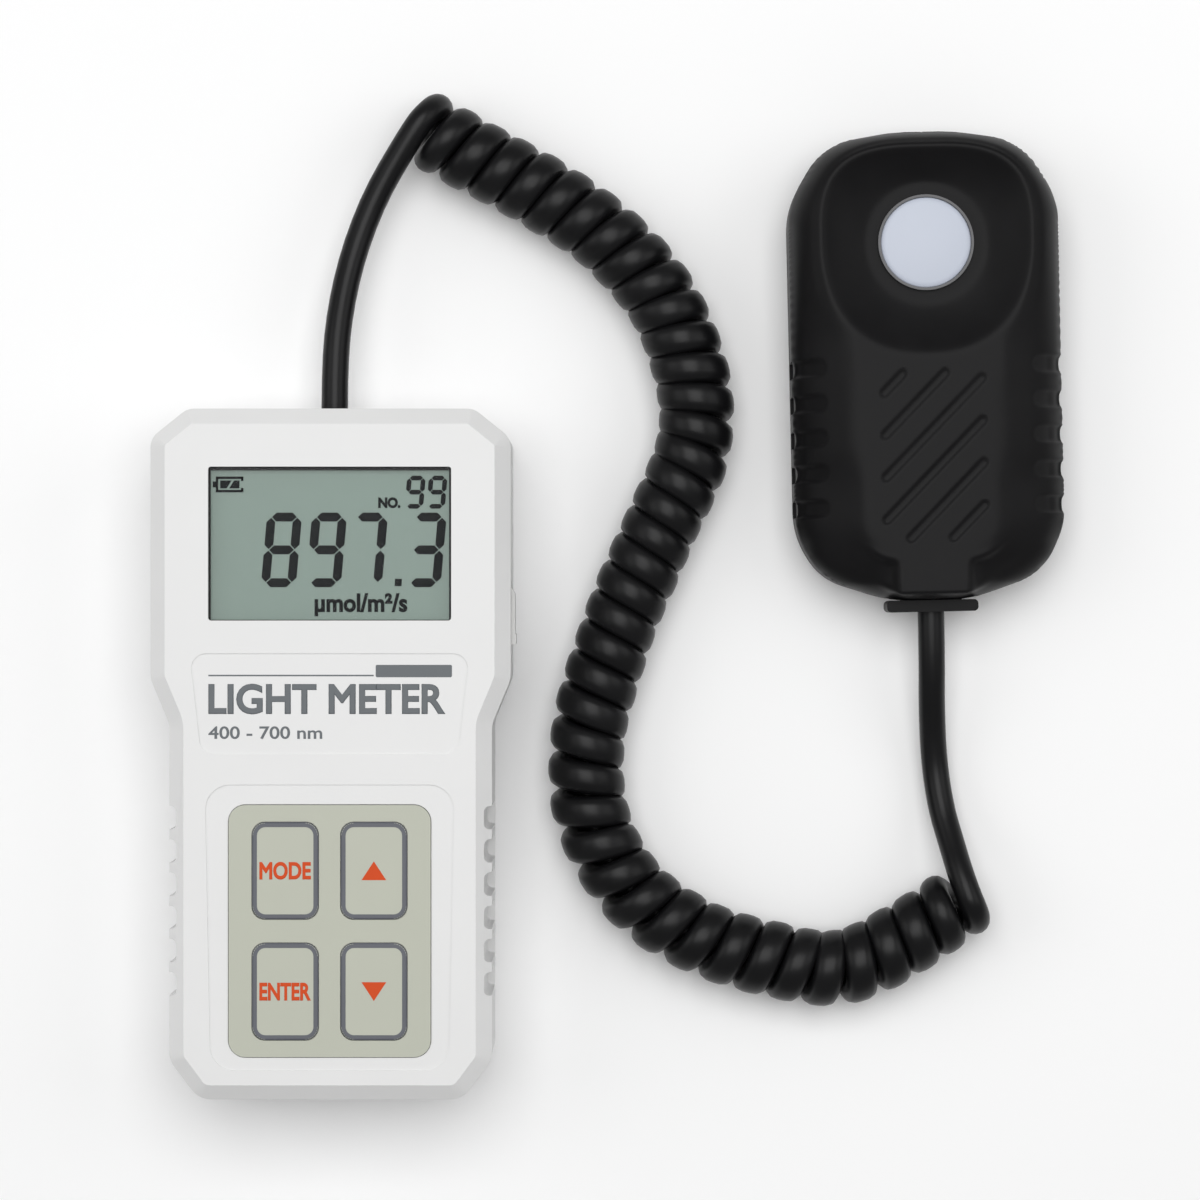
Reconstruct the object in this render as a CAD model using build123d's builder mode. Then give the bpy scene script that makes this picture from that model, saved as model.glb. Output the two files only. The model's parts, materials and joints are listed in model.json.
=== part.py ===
"""Hand-held light meter with a wired sensor head, every piece its own solid.

Frame: the origin is the centre of the meter's back face.  +X is to the right of the display,
+Y from the keypad towards the display and +Z out of the display.  Everything lies on Z = 0.
All lengths are in millimetres.
"""

import os
from math import cos, pi, radians, sin, tan

from build123d import *

os.makedirs("parts", exist_ok=True)

# ---------------------------------------------------------------- driving dimensions: meter
body_length = 140.0
display_width = 73.0
grip_width = 65.4
body_height = 33.0
parting = 16.0
shell_wall = 2.2
front_wall = 2.5
grip_wall = 4.1
front_bevel = 3.2
back_round = 2.5
fit_gap = 0.15
shoulder_top = 15.2
shoulder_bottom = 6.1
top_corner = (7.5, 6)
bottom_corner = (6, 8)
outline_radii = [4, 4, 6, 6, 5, 5]
joint_tongue = 1.2

body_end = body_length / 2
front_inside = body_height - front_wall

# display
window_width = 49.1
window_length = 31.1
window_y = 42.6
window_depth = 0.9
lens_thickness = 1.2
lens_margin = 2.0
lens_play = 0.1
label_recess = [(-28.3, 20.4), (28.3, 20.4), (26, 0.1), (-26, 0.1)]
recess_depth = 0.3
glass_width = 50.4
glass_length = 34
glass_thickness = 2.6
glass_top = 30.4
frame_width = 53.6
frame_length = 37.6
strip_width = 2.4
strip_offset = 15

# keypad: a pocket in the front face holds the circuit, the domes and the overlay
pad_width = 40.8
pad_length = 50.9
pad_corner = 3.6
pad_y = -35.65
pad_floor = 31.5
pad_recess = [(-25.2, -6.1), (25.2, -6.1), (24.1, -63.8), (-24.1, -63.8)]
circuit_thickness = 0.3
spacer_thickness = 0.4
dome_radius = 4.0
key_width = 13.4
key_length = 19.6
key_corner = 2.7
key_pitch_x = 17.9
key_pitch_y = 24.4
key_travel = 0.4
key_thickness = 0.6
key_gap = 0.12
circuit_top = pad_floor + circuit_thickness
spacer_top = circuit_top + spacer_thickness
key_bottom = spacer_top + key_travel

# grip notches along both sides
notch_count = 6
notch_pitch = 6.73
notch_height = 4.75
notch_depth = 1.6
notch_first_y = -12.9
notch_floor = 5.0

# main board and its screws
board_width = 54.0
board_low_y = -54.0
board_high_y = 62.0
board_bottom = 22.6
board_top = 24.2
board_screw_spots = [(-24, 20.5), (24, 20.5), (-24, -49.5), (24, -49.5)]
standoff_radius = 2.6
board_screw_radius = 1.0
board_screw_head = 2.0
# size in plan, centre and height of each square chip, all on the board's underside
square_chips = [
    ((12, 12), (-8, 14), 1.4),
    ((8, 5), (12, 11), 1.6),
    ((5, 4), (14, 20), 1.5),
    ((8, 3.2), (-16, 24), 3),
]
# radius and centre of each round capacitor
capacitors = [(3.2, (-18, 40)), (2.5, (16, 44))]
capacitor_height = 5
header_y = 44
header_height = 6

# case screws, put in from the back
case_screw_spots = [(-30.4, 60.8), (30.4, 60.8), (-24.6, -62), (24.6, -62)]
case_boss_radius = 3.4
case_screw_radius = 1.3
case_clear_radius = 1.6
case_head_radius = 2.6
case_head_height = 2.0
case_head_seat = 8.0
case_screw_tip = 26.0

# 9 V block battery, its bay and its sliding door
battery_width = 26.5
battery_length = 48.5
battery_height = 17.5
battery_bottom = 2.4
battery_y = -36.0
terminal_x = 6.35
terminal_radius = 2.9
terminal_height = 2.6
snap_thickness = 4.8
lead_x = 3
lead_radius = 0.7
lead_turn_y = 5.5
bay_half_width = 13.6
bay_low_y = -61.5
bay_high_y = -3.0
bay_wall = 1.4
bay_ceiling = 20.2
door_thickness = 2.0
door_half_width = 16.0
door_top_y = -2.8
rail_width = 1.0
rail_bottom = 1.1
rail_pad_height = 4.0
thumb_ridges = 4
thumb_ridge_pitch = 2.6
thumb_ridge_first_y = -16

# tripod bush in the back: the bore is the tapping size of a 1/4-20 thread
bush_y = 30.0
bush_radius = 5.0
bush_length = 8.0
bush_bore_radius = 2.55

# socket in the right-hand side and its rubber cover
port_y = 27.9
port_z = 19.8
cover_length = 11.6
cover_height = 7.6
cover_pocket_depth = 1.0
cover_proud = 0.75
cover_lip = 0.25
plug_hole_radius = 3.1
socket_bore_radius = 1.8

# cord entry: a grommet in the top end and a clamp on two posts behind it
grommet_radius = 3.6
grommet_flange_radius = 4.6
grommet_collar_radius = 4.15
clamp_y = 58
clamp_post_x = 7
clamp_bottom = 12.4
clamp_top = 20.5
clamp_head_seat = 18.5
clamp_screw_radius = 1.1
clamp_screw_head = 2.1

# ---------------------------------------------------------------- driving dimensions: head
head_x = 123.1
head_y = 28.8
head_turn = radians(1.3)
head_plane = Plane(
    origin=(head_x, head_y, 0),
    x_dir=(cos(head_turn), sin(head_turn), 0),
    z_dir=(0, 0, 1),
)
head_width = 55.6
head_low_y = 2.4
head_high_y = 98.9
head_height = 24.0
head_crown_x = 20.5
head_crown_y = 96.6
head_side_high_y = 84.5
head_side_low_y = 16.5
head_heel = (22.5, 7.3)
head_toe_x = 8
head_top_x = 7
head_radii = [40, 14, 18, 18, 13, 28]
head_parting = 11.0
head_wall = 2.0
head_round = 9.0
dish_y = 75.7
dish_middle_y = 74.6
dish_half_width = 21.6
dish_half_length = 20.8
dish_floor = 19.5
dish_floor_radius = 12.6
diffuser_radius = 9.3
diffuser_top = 21.0
diffuser_flange_radius = 11.0
seal_width = 0.5
head_notch_count = 5
head_notch_pitch = 7.2
head_notch_first_y = 21.6
head_notch_length = 7.4
groove_count = 6
groove_width = 1.7
groove_depth = 0.6
groove_spacing = 8.65
groove_field = (21.7, 35.3)
groove_field_centre = (0.5, 31.9)
groove_first_offset = 11.5
cover_underside = 17.3
handle_hollow = 36
handle_hollow_y = 32
head_screw_spots = [(-20.5, 82), (20.5, 82), (-19.5, 16.5), (19.5, 16.5)]
head_screw_radius = 1.1
head_screw_head = 2.4
head_screw_seat = 5.0
head_screw_tip = 16.0
sensor_board_radius = 15.0
sensor_board_bottom = 6.4
sensor_board_top = 8.0
sensor_screw_x = 11
sensor_screw_radius = 0.9
sensor_screw_low = 2.5
holder_radius = 8.6
filter_radius = 6.0
filter_thickness = 1.8
photodiode_radius = 4.0
photodiode_height = 2.6
gland_width = 18.8
gland_height = 11
head_clamp_y = 14
head_clamp_post_x = 6
head_clamp_bottom = 7.4
head_clamp_seat = 14
head_clamp_top = 15.4

# ---------------------------------------------------------------- driving dimensions: cord
cord_radius = 2.75
coil_radius = 7.35
cord_exit_z = parting
gland_z = 11.0
grommet_face_y = body_end + 0.4

# Routes, as points in space.  The coil lies on the ground and both tails join it at its top.
meter_tail_route = [
    (0, grommet_face_y, cord_exit_z),
    (0, 80, cord_exit_z),
    (1.0, 91, 14.4),
    (3.6, 103, 12.4),
    (8.2, 115, 11.4),
    (17.8, 130.4, 11.9),
]
coil_route = [
    (17.2, 129.7, coil_radius),
    (30, 122.5, coil_radius),
    (44, 115.2, coil_radius),
    (58, 105.5, coil_radius),
    (68.5, 93, coil_radius),
    (74, 78.5, coil_radius),
    (75.2, 64, coil_radius),
    (68.6, 49.5, coil_radius),
    (60.8, 32.3, coil_radius),
    (55, 16, coil_radius),
    (51.3, 1, coil_radius),
    (52.3, -14.5, coil_radius),
    (60, -29, coil_radius),
    (74, -39, coil_radius),
    (90, -43.5, coil_radius),
    (104, -46.2, coil_radius),
    (117.5, -40, coil_radius),
    (128.5, -32.1, coil_radius),
]
head_tail_route = [
    (131.3, -31.4, 11.9),
    (128.2, -22, 9.2),
    (125.6, -12, 5.4),
    (124.2, -2, 4.4),
    (123.5, 9, 7.8),
    (123.32, 19, gland_z),
    (head_x, head_y, gland_z),
]


# ---------------------------------------------------------------- helpers
def save(piece, name):
    """Label a finished piece and write it to its own file."""
    piece.label = name
    export_step(piece, f"parts/{name}.step")


def body_outline(height, inset=0.0, grip_inset=None):
    """Plan outline of the meter: wide over the display, narrower at the grip."""
    side_inset = inset if grip_inset is None else grip_inset
    wide = display_width / 2 - inset
    narrow = grip_width / 2 - side_inset
    top = body_end - inset
    bottom = -body_end + inset
    corners = [
        (0, top),
        (wide - top_corner[0], top),
        (wide, top - top_corner[1]),
        (wide, shoulder_top),
        (narrow, shoulder_bottom),
        (narrow, bottom + bottom_corner[1]),
        (narrow - bottom_corner[0], bottom),
        (0, bottom),
    ]
    with BuildSketch(Plane.XY.offset(height)) as outline:
        with BuildLine():
            side = FilletPolyline(*corners, radius=outline_radii)
            mirror(side, about=Plane.YZ)
        make_face()
    return outline.sketch


def head_outline(height, inset=0.0):
    """Plan outline of the sensor head: crowned ends joined by rounded shoulders."""
    half = head_width / 2
    corners = [
        (0, head_high_y),
        (head_top_x, head_high_y),
        (head_crown_x, head_crown_y),
        (half, head_side_high_y),
        (half, head_side_low_y),
        head_heel,
        (head_toe_x, head_low_y),
        (0, head_low_y),
    ]
    with BuildSketch(head_plane.offset(height)) as outline:
        with BuildLine():
            side = FilletPolyline(*corners, radius=head_radii)
            mirror(side, about=Plane.YZ)
        make_face()
        if inset:
            offset(amount=-inset)
    return outline.sketch


def plate(size, centre, low, high, corner=0.0, base=Plane.XY, mode=Mode.ADD):
    """Add or cut a flat block between two heights, with rounded corners if asked."""
    with BuildSketch(base.offset(low)) as outline:
        with Locations(centre):
            if corner:
                RectangleRounded(*size, corner)
            else:
                Rectangle(*size)
    extrude(outline.sketch, amount=high - low, mode=mode)


def disc(radius, centre, low, high, base=Plane.XY, mode=Mode.ADD):
    """Add or cut a round block between two heights."""
    with BuildSketch(base.offset(low)) as outline:
        with Locations(centre):
            Circle(radius)
    extrude(outline.sketch, amount=high - low, mode=mode)


def rod(radius, start, direction, length, mode=Mode.ADD):
    """Add or cut a round bar that starts at a point and runs in a direction."""
    with BuildSketch(Plane(origin=start, z_dir=direction)) as section:
        Circle(radius)
    extrude(section.sketch, amount=length, mode=mode)


def cross_slot(span, width, centre, low, high, base=Plane.XY):
    """Cut a cross for a screwdriver between two heights."""
    plate((span, width), centre, low, high, base=base, mode=Mode.SUBTRACT)
    plate((width, span), centre, low, high, base=base, mode=Mode.SUBTRACT)


def bend_radii(route):
    """The largest radius that each inner point of a route has room for."""
    spots = [Vector(*point) for point in route]
    radii = []
    for before, corner, after in zip(spots, spots[1:], spots[2:]):
        run_in = corner - before
        run_out = after - corner
        half_turn = radians(run_in.get_angle(run_out)) / 2
        radii.append(0.45 * min(run_in.length, run_out.length) / tan(half_turn))
    return radii


def tube(route, radius, name):
    """A round tube along straight runs joined by tangent arcs."""
    radii = bend_radii(route)
    with BuildPart() as cord:
        with BuildLine() as path:
            FilletPolyline(*route, radius=radii)
        with BuildSketch(Plane(origin=path.line @ 0, z_dir=path.line % 0)):
            Circle(radius)
        sweep()
    length = path.wire().length
    print(name, "radii", [round(r, 1) for r in radii], "length", round(length, 1))
    print(name, "volume over section and length", round(cord.part.volume / (pi * radius**2 * length), 4))
    save(cord.part, name)


# ---------------------------------------------------------------- meter shells
with BuildPart() as body_block:
    extrude(body_outline(0), amount=body_height)
    chamfer(body_block.edges().group_by(Axis.Z)[-1], length=front_bevel)
    fillet(body_block.edges().group_by(Axis.Z)[0], radius=back_round)
    for notch in range(notch_count):
        centre_y = notch_first_y - notch * notch_pitch
        for side in (-1, 1):
            plate(
                (2 * notch_depth, notch_height),
                (side * grip_width / 2, centre_y),
                notch_floor,
                body_height,
                corner=1.2,
                mode=Mode.SUBTRACT,
            )

with BuildPart() as front_shell:
    add(body_block.part)
    plate((200, 200), (0, 0), -1, parting, mode=Mode.SUBTRACT)
    extrude(
        body_outline(parting, shell_wall, grip_wall),
        amount=front_inside - parting,
        mode=Mode.SUBTRACT,
    )
    # tongue that locates the front shell inside the rear one
    extrude(body_outline(parting, 1.2, 2.7), amount=-joint_tongue)
    extrude(body_outline(parting, shell_wall, grip_wall), amount=-joint_tongue, mode=Mode.SUBTRACT)
    # bosses for the case screws and standoffs for the board
    for spot in case_screw_spots:
        disc(case_boss_radius + 0.8, spot, parting - joint_tongue - 0.1, parting, mode=Mode.SUBTRACT)
        disc(case_boss_radius, spot, parting, front_inside)
        disc(case_screw_radius, spot, parting, case_screw_tip, mode=Mode.SUBTRACT)
    for spot in board_screw_spots:
        disc(standoff_radius, spot, board_top, front_inside)
        disc(board_screw_radius, spot, board_top, front_inside - 1.5, mode=Mode.SUBTRACT)
    # display window, with a pocket behind it for the lens
    plate(
        (window_width, window_length),
        (0, window_y),
        front_inside,
        body_height,
        corner=0.6,
        mode=Mode.SUBTRACT,
    )
    plate(
        (window_width + 2 * (lens_margin + lens_play), window_length + 2 * (lens_margin + lens_play)),
        (0, window_y),
        front_inside,
        body_height - window_depth,
        mode=Mode.SUBTRACT,
    )
    # shallow recesses for the printed label and around the keypad, then the keypad's pocket
    with BuildSketch(Plane.XY.offset(body_height - recess_depth)) as recess:
        with BuildLine():
            Polyline(*label_recess, close=True)
        make_face()
        fillet(recess.vertices(), radius=3)
    extrude(amount=recess_depth, mode=Mode.SUBTRACT)
    with BuildSketch(Plane.XY.offset(body_height - recess_depth)) as recess:
        with BuildLine():
            Polyline(*pad_recess, close=True)
        make_face()
        fillet(recess.vertices(), radius=5)
    extrude(amount=recess_depth, mode=Mode.SUBTRACT)
    plate(
        (pad_width + 0.3, pad_length + 0.3),
        (0, pad_y),
        pad_floor,
        body_height,
        corner=pad_corner,
        mode=Mode.SUBTRACT,
    )
    # slot that the keypad's ribbon passes through
    plate((14, 1.6), (0, pad_y + 22), front_inside, pad_floor, mode=Mode.SUBTRACT)
    # pocket and hole for the side socket and its cover
    plate(
        (2 * cover_pocket_depth, cover_length + 0.4),
        (display_width / 2, port_y),
        port_z - cover_height / 2 - 0.2,
        port_z + cover_height / 2 + 0.2,
        mode=Mode.SUBTRACT,
    )
    rod(plug_hole_radius, (display_width / 2 - 6, port_y, port_z), (1, 0, 0), 8, mode=Mode.SUBTRACT)
    # half of the hole for the cord's grommet
    rod(grommet_radius, (0, body_end - 5, cord_exit_z), (0, 1, 0), 8, mode=Mode.SUBTRACT)
save(front_shell.part, "front_shell")

with BuildPart() as rear_shell:
    add(body_block.part)
    plate((200, 200), (0, 0), parting, body_height + 1, mode=Mode.SUBTRACT)
    extrude(
        body_outline(shell_wall, shell_wall, grip_wall),
        amount=body_height,
        mode=Mode.SUBTRACT,
    )
    # step that the front shell's tongue drops into
    extrude(body_outline(parting - joint_tongue - 0.1, 1.1, 2.6), amount=2, mode=Mode.SUBTRACT)
    # battery bay with a ceiling, and thick pads for the door's rails
    bay_centre = (0, (bay_low_y + bay_high_y) / 2)
    bay_length = bay_high_y - bay_low_y
    plate(
        (2 * (bay_half_width + bay_wall), bay_length + 2 * bay_wall),
        bay_centre,
        0.5,
        bay_ceiling + 1.2,
    )
    pad_span = door_top_y + 2 + body_end - shell_wall
    plate(
        (2 * (door_half_width + 3), pad_span),
        (0, door_top_y + 2 - pad_span / 2),
        0.5,
        rail_pad_height,
    )
    plate((2 * bay_half_width, bay_length), bay_centre, 0, bay_ceiling, mode=Mode.SUBTRACT)
    # way for the battery's leads
    plate((12, 6), (0, bay_high_y), 12, 16, mode=Mode.SUBTRACT)
    # channel and rail grooves for the sliding door, open at the lower end
    door_span = body_end + door_top_y + 2
    door_middle = (0, door_top_y + fit_gap - door_span / 2)
    plate(
        (2 * (door_half_width + fit_gap), door_span),
        door_middle,
        -1,
        door_thickness + fit_gap,
        mode=Mode.SUBTRACT,
    )
    plate(
        (2 * (door_half_width + rail_width + fit_gap), door_span),
        door_middle,
        rail_bottom - fit_gap,
        door_thickness + fit_gap,
        mode=Mode.SUBTRACT,
    )
    # case screw bosses with deep counterbores
    for spot in case_screw_spots:
        disc(case_boss_radius + 0.6, spot, 0.5, parting)
        disc(case_clear_radius, spot, -1, parting, mode=Mode.SUBTRACT)
        disc(case_head_radius + 0.3, spot, -1, case_head_seat, mode=Mode.SUBTRACT)
    # boss that holds the tripod bush
    disc(bush_radius + 2.2, (0, bush_y), 0.5, bush_length + 1.2)
    with BuildSketch(Plane.XY.offset(-1)):
        with Locations((0, bush_y)):
            RegularPolygon(bush_radius, 6)
    extrude(amount=bush_length + 1, mode=Mode.SUBTRACT)
    # posts for the cord clamp, and the other half of the grommet's hole
    for side in (-1, 1):
        disc(2.6, (side * clamp_post_x, clamp_y), 0.5, clamp_bottom)
        disc(clamp_screw_radius, (side * clamp_post_x, clamp_y), 4, clamp_bottom, mode=Mode.SUBTRACT)
    rod(grommet_radius, (0, body_end - 5, cord_exit_z), (0, 1, 0), 8, mode=Mode.SUBTRACT)
save(rear_shell.part, "rear_shell")

with BuildPart() as battery_door:
    add(body_block.part)
    door_length = door_top_y + body_end + 2
    plate(
        (2 * door_half_width, door_length),
        (0, door_top_y - door_length / 2),
        0,
        door_thickness,
        mode=Mode.INTERSECT,
    )
    rail_length = door_top_y + body_end - 4
    for side in (-1, 1):
        plate(
            (rail_width + 1, rail_length),
            (side * (door_half_width + rail_width / 2 - 0.5), door_top_y - rail_length / 2),
            rail_bottom,
            door_thickness,
        )
    # ridged thumb rest
    for ridge in range(thumb_ridges):
        ridge_y = thumb_ridge_first_y - ridge * thumb_ridge_pitch
        plate((14, 1.2), (0, ridge_y), 0, 0.6, mode=Mode.SUBTRACT)
save(battery_door.part, "battery_door")

# ---------------------------------------------------------------- display
with BuildPart() as lcd_window:
    plate(
        (window_width + 2 * lens_margin, window_length + 2 * lens_margin),
        (0, window_y),
        body_height - window_depth - lens_thickness,
        body_height - window_depth,
    )
save(lcd_window.part, "lcd_window")

with BuildPart() as lcd_glass:
    plate((glass_width, glass_length), (0, window_y), glass_top - glass_thickness, glass_top)
save(lcd_glass.part, "lcd_glass")

with BuildPart() as lcd_frame:
    plate((frame_width, frame_length), (0, window_y), board_top, glass_top, corner=1)
    plate(
        (glass_width + 0.2, glass_length + 0.2),
        (0, window_y),
        glass_top - glass_thickness - 0.05,
        glass_top,
        mode=Mode.SUBTRACT,
    )
    plate((47, 33), (0, window_y), board_top, glass_top, mode=Mode.SUBTRACT)
save(lcd_frame.part, "lcd_frame")

with BuildPart() as zebra_strips:
    for side in (-1, 1):
        strip_y = window_y + side * strip_offset
        plate((46, strip_width), (0, strip_y), board_top, glass_top - glass_thickness)
save(zebra_strips.part, "zebra_strips")

# ---------------------------------------------------------------- main board
board_centre = (0, (board_low_y + board_high_y) / 2)
with BuildPart() as main_board:
    plate((board_width, board_high_y - board_low_y), board_centre, board_bottom, board_top, corner=1.5)
    for spot in board_screw_spots:
        disc(board_screw_radius, spot, board_bottom, board_top, mode=Mode.SUBTRACT)
save(main_board.part, "main_board")

with BuildPart() as board_chips:
    for chip_size, chip_centre, chip_height in square_chips:
        plate(chip_size, chip_centre, board_bottom - chip_height, board_bottom, corner=0.4)
    for capacitor_radius, capacitor_centre in capacitors:
        disc(capacitor_radius, capacitor_centre, board_bottom - capacitor_height, board_bottom)
save(board_chips.part, "board_chips")

with BuildPart() as cord_header:
    plate((10, 4.6), (0, header_y), board_bottom - header_height, board_bottom)
save(cord_header.part, "cord_header")

with BuildPart() as board_screws:
    for spot in board_screw_spots:
        disc(board_screw_head, spot, board_bottom - 1.4, board_bottom)
        disc(board_screw_radius, spot, board_bottom, front_inside - 1.5)
        cross_slot(2.8, 0.6, spot, board_bottom - 1.5, board_bottom - 0.8)
save(board_screws.part, "board_screws")

with BuildPart() as case_screws:
    head_bottom = case_head_seat - case_head_height
    for spot in case_screw_spots:
        disc(case_head_radius, spot, head_bottom, case_head_seat)
        disc(case_screw_radius, spot, case_head_seat, case_screw_tip)
        cross_slot(3.2, 0.8, spot, head_bottom - 0.1, head_bottom + 1.1)
save(case_screws.part, "case_screws")

# ---------------------------------------------------------------- keypad
with BuildPart() as keypad_circuit:
    plate((pad_width, pad_length), (0, pad_y), pad_floor, circuit_top, corner=pad_corner - 0.2)
save(keypad_circuit.part, "keypad_circuit")

key_places = {
    "key_mode": (-key_pitch_x / 2, pad_y + key_pitch_y / 2),
    "key_up": (key_pitch_x / 2, pad_y + key_pitch_y / 2),
    "key_enter": (-key_pitch_x / 2, pad_y - key_pitch_y / 2),
    "key_down": (key_pitch_x / 2, pad_y - key_pitch_y / 2),
}

with BuildPart() as snap_domes:
    for place in key_places.values():
        disc(dome_radius, place, circuit_top, spacer_top - 0.05)
    fillet(snap_domes.edges().group_by(Axis.Z)[-1], radius=0.25)
save(snap_domes.part, "snap_domes")

with BuildPart() as keypad_spacer:
    plate((pad_width, pad_length), (0, pad_y), circuit_top, spacer_top, corner=pad_corner - 0.2)
    for place in key_places.values():
        disc(dome_radius + 0.6, place, circuit_top, spacer_top, mode=Mode.SUBTRACT)
save(keypad_spacer.part, "keypad_spacer")

with BuildPart() as keypad_overlay:
    plate((pad_width, pad_length), (0, pad_y), spacer_top, body_height, corner=pad_corner - 0.2)
    for place in key_places.values():
        plate(
            (key_width + 2 * key_gap, key_length + 2 * key_gap),
            place,
            spacer_top,
            body_height,
            corner=key_corner,
            mode=Mode.SUBTRACT,
        )
save(keypad_overlay.part, "keypad_overlay")

for key_name, place in key_places.items():
    with BuildPart() as key:
        plate((key_width, key_length), place, key_bottom, key_bottom + key_thickness, corner=key_corner)
        fillet(key.edges().group_by(Axis.Z)[-1], radius=0.3)
    save(key.part, key_name)

# ---------------------------------------------------------------- battery
battery_top_y = battery_y + battery_length / 2
battery_middle_z = battery_bottom + battery_height / 2
with BuildPart() as battery:
    plate(
        (battery_width, battery_length),
        (0, battery_y),
        battery_bottom,
        battery_bottom + battery_height,
    )
    fillet(battery.edges().filter_by(Axis.Y), radius=1.8)
    for side in (-1, 1):
        start = (side * terminal_x, battery_top_y, battery_middle_z)
        rod(terminal_radius, start, (0, 1, 0), terminal_height)
save(battery.part, "battery")

with BuildPart() as battery_snap:
    plate(
        (25, snap_thickness),
        (0, battery_top_y + 0.1 + snap_thickness / 2),
        battery_middle_z - 6,
        battery_middle_z + 6,
        corner=2.2,
    )
    for side in (-1, 1):
        start = (side * terminal_x, battery_top_y, battery_middle_z)
        rod(terminal_radius + 0.05, start, (0, 1, 0), terminal_height + 0.2, mode=Mode.SUBTRACT)
save(battery_snap.part, "battery_snap")

with BuildPart() as battery_leads:
    lead_start_y = battery_top_y + 0.1 + snap_thickness
    for side in (-1, 1):
        with BuildLine() as lead_path:
            FilletPolyline(
                (side * lead_x, lead_start_y, 14),
                (side * lead_x, 2, 14),
                (side * lead_x, lead_turn_y, 17),
                (side * lead_x, lead_turn_y, board_bottom),
                radius=[2, 2],
            )
        with BuildSketch(Plane(origin=lead_path.line @ 0, z_dir=lead_path.line % 0)):
            Circle(lead_radius)
        sweep(path=lead_path.line)
save(battery_leads.part, "battery_leads")

# ---------------------------------------------------------------- tripod bush
with BuildPart() as tripod_bush:
    with BuildSketch():
        with Locations((0, bush_y)):
            RegularPolygon(bush_radius, 6)
            Circle(bush_bore_radius, mode=Mode.SUBTRACT)
    extrude(amount=bush_length)
save(tripod_bush.part, "tripod_bush")

# ---------------------------------------------------------------- side socket and cover
with BuildPart() as port_socket:
    plate((13.8, 8), (27.2, port_y), board_bottom - 6, board_bottom, corner=0.5)
    rod(plug_hole_radius - 0.2, (34.1, port_y, port_z), (1, 0, 0), 1.2)
    rod(socket_bore_radius, (24, port_y, port_z), (1, 0, 0), 12, mode=Mode.SUBTRACT)
save(port_socket.part, "port_socket")

with BuildPart() as port_cover:
    cover_inner_x = display_width / 2 - cover_pocket_depth + 0.05
    cover_outer_x = display_width / 2 + cover_proud
    with BuildSketch(Plane.XY.offset(port_z - cover_height / 2)):
        with BuildLine():
            Polyline(
                (cover_inner_x, port_y + cover_length / 2),
                (display_width / 2, port_y + cover_length / 2),
                (cover_outer_x, port_y + cover_length / 2 - 1.2),
                (cover_outer_x, port_y - cover_length / 2 + 2.2),
                (cover_outer_x + cover_lip, port_y - cover_length / 2 + 2.2),
                (cover_outer_x + cover_lip, port_y - cover_length / 2 + 0.2),
                (cover_outer_x, port_y - cover_length / 2),
                (cover_inner_x, port_y - cover_length / 2),
                close=True,
            )
        make_face()
    extrude(amount=cover_height)
save(port_cover.part, "port_cover")

# ---------------------------------------------------------------- cord entry of the meter
with BuildPart() as cord_grommet:
    rod(grommet_radius, (0, body_end - shell_wall, cord_exit_z), (0, 1, 0), shell_wall)
    rod(grommet_collar_radius, (0, body_end, cord_exit_z), (0, 1, 0), grommet_face_y - body_end)
    rod(grommet_flange_radius, (0, body_end - shell_wall - 2, cord_exit_z), (0, 1, 0), 2)
save(cord_grommet.part, "cord_grommet")

with BuildPart() as inner_cord:
    inner_end_y = clamp_y - 10
    inner_length = body_end - shell_wall - 2 - inner_end_y
    rod(cord_radius, (0, inner_end_y, cord_exit_z), (0, 1, 0), inner_length)
save(inner_cord.part, "inner_cord")

with BuildPart() as cord_clamp:
    plate((20, 5), (0, clamp_y), clamp_bottom, clamp_top, corner=2)
    rod(cord_radius, (0, clamp_y - 8, cord_exit_z), (0, 1, 0), 16, mode=Mode.SUBTRACT)
    plate((2 * cord_radius, 6), (0, clamp_y), clamp_bottom, cord_exit_z, mode=Mode.SUBTRACT)
    for side in (-1, 1):
        spot = (side * clamp_post_x, clamp_y)
        disc(clamp_screw_radius, spot, clamp_bottom, clamp_top, mode=Mode.SUBTRACT)
        disc(clamp_screw_head + 0.2, spot, clamp_head_seat, clamp_top, mode=Mode.SUBTRACT)
save(cord_clamp.part, "cord_clamp")

with BuildPart() as clamp_screws:
    for side in (-1, 1):
        spot = (side * clamp_post_x, clamp_y)
        disc(clamp_screw_head, spot, clamp_head_seat, clamp_head_seat + 1.6)
        disc(clamp_screw_radius, spot, 4, clamp_head_seat)
        cross_slot(2.8, 0.7, spot, clamp_head_seat + 0.8, clamp_head_seat + 1.7)
save(clamp_screws.part, "clamp_screws")

# ---------------------------------------------------------------- sensor head shells
with BuildPart() as head_block:
    extrude(head_outline(0), amount=head_height)
    fillet(head_block.edges().group_by(Axis.Z)[-1], radius=head_round)
    fillet(head_block.edges().group_by(Axis.Z)[0], radius=2)
    # finger notches, open at the sides
    for notch in range(head_notch_count):
        notch_y = head_notch_first_y + notch * head_notch_pitch
        for side in (-1, 1):
            plate(
                (2 * head_notch_length, 3.6),
                (side * (head_width / 2 + 1), notch_y),
                head_height - 2.6,
                head_height,
                corner=1.7,
                base=head_plane,
                mode=Mode.SUBTRACT,
            )
            plate(
                (1.3, 3.4),
                (side * head_width / 2, notch_y),
                4,
                head_height,
                base=head_plane,
                mode=Mode.SUBTRACT,
            )

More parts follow.
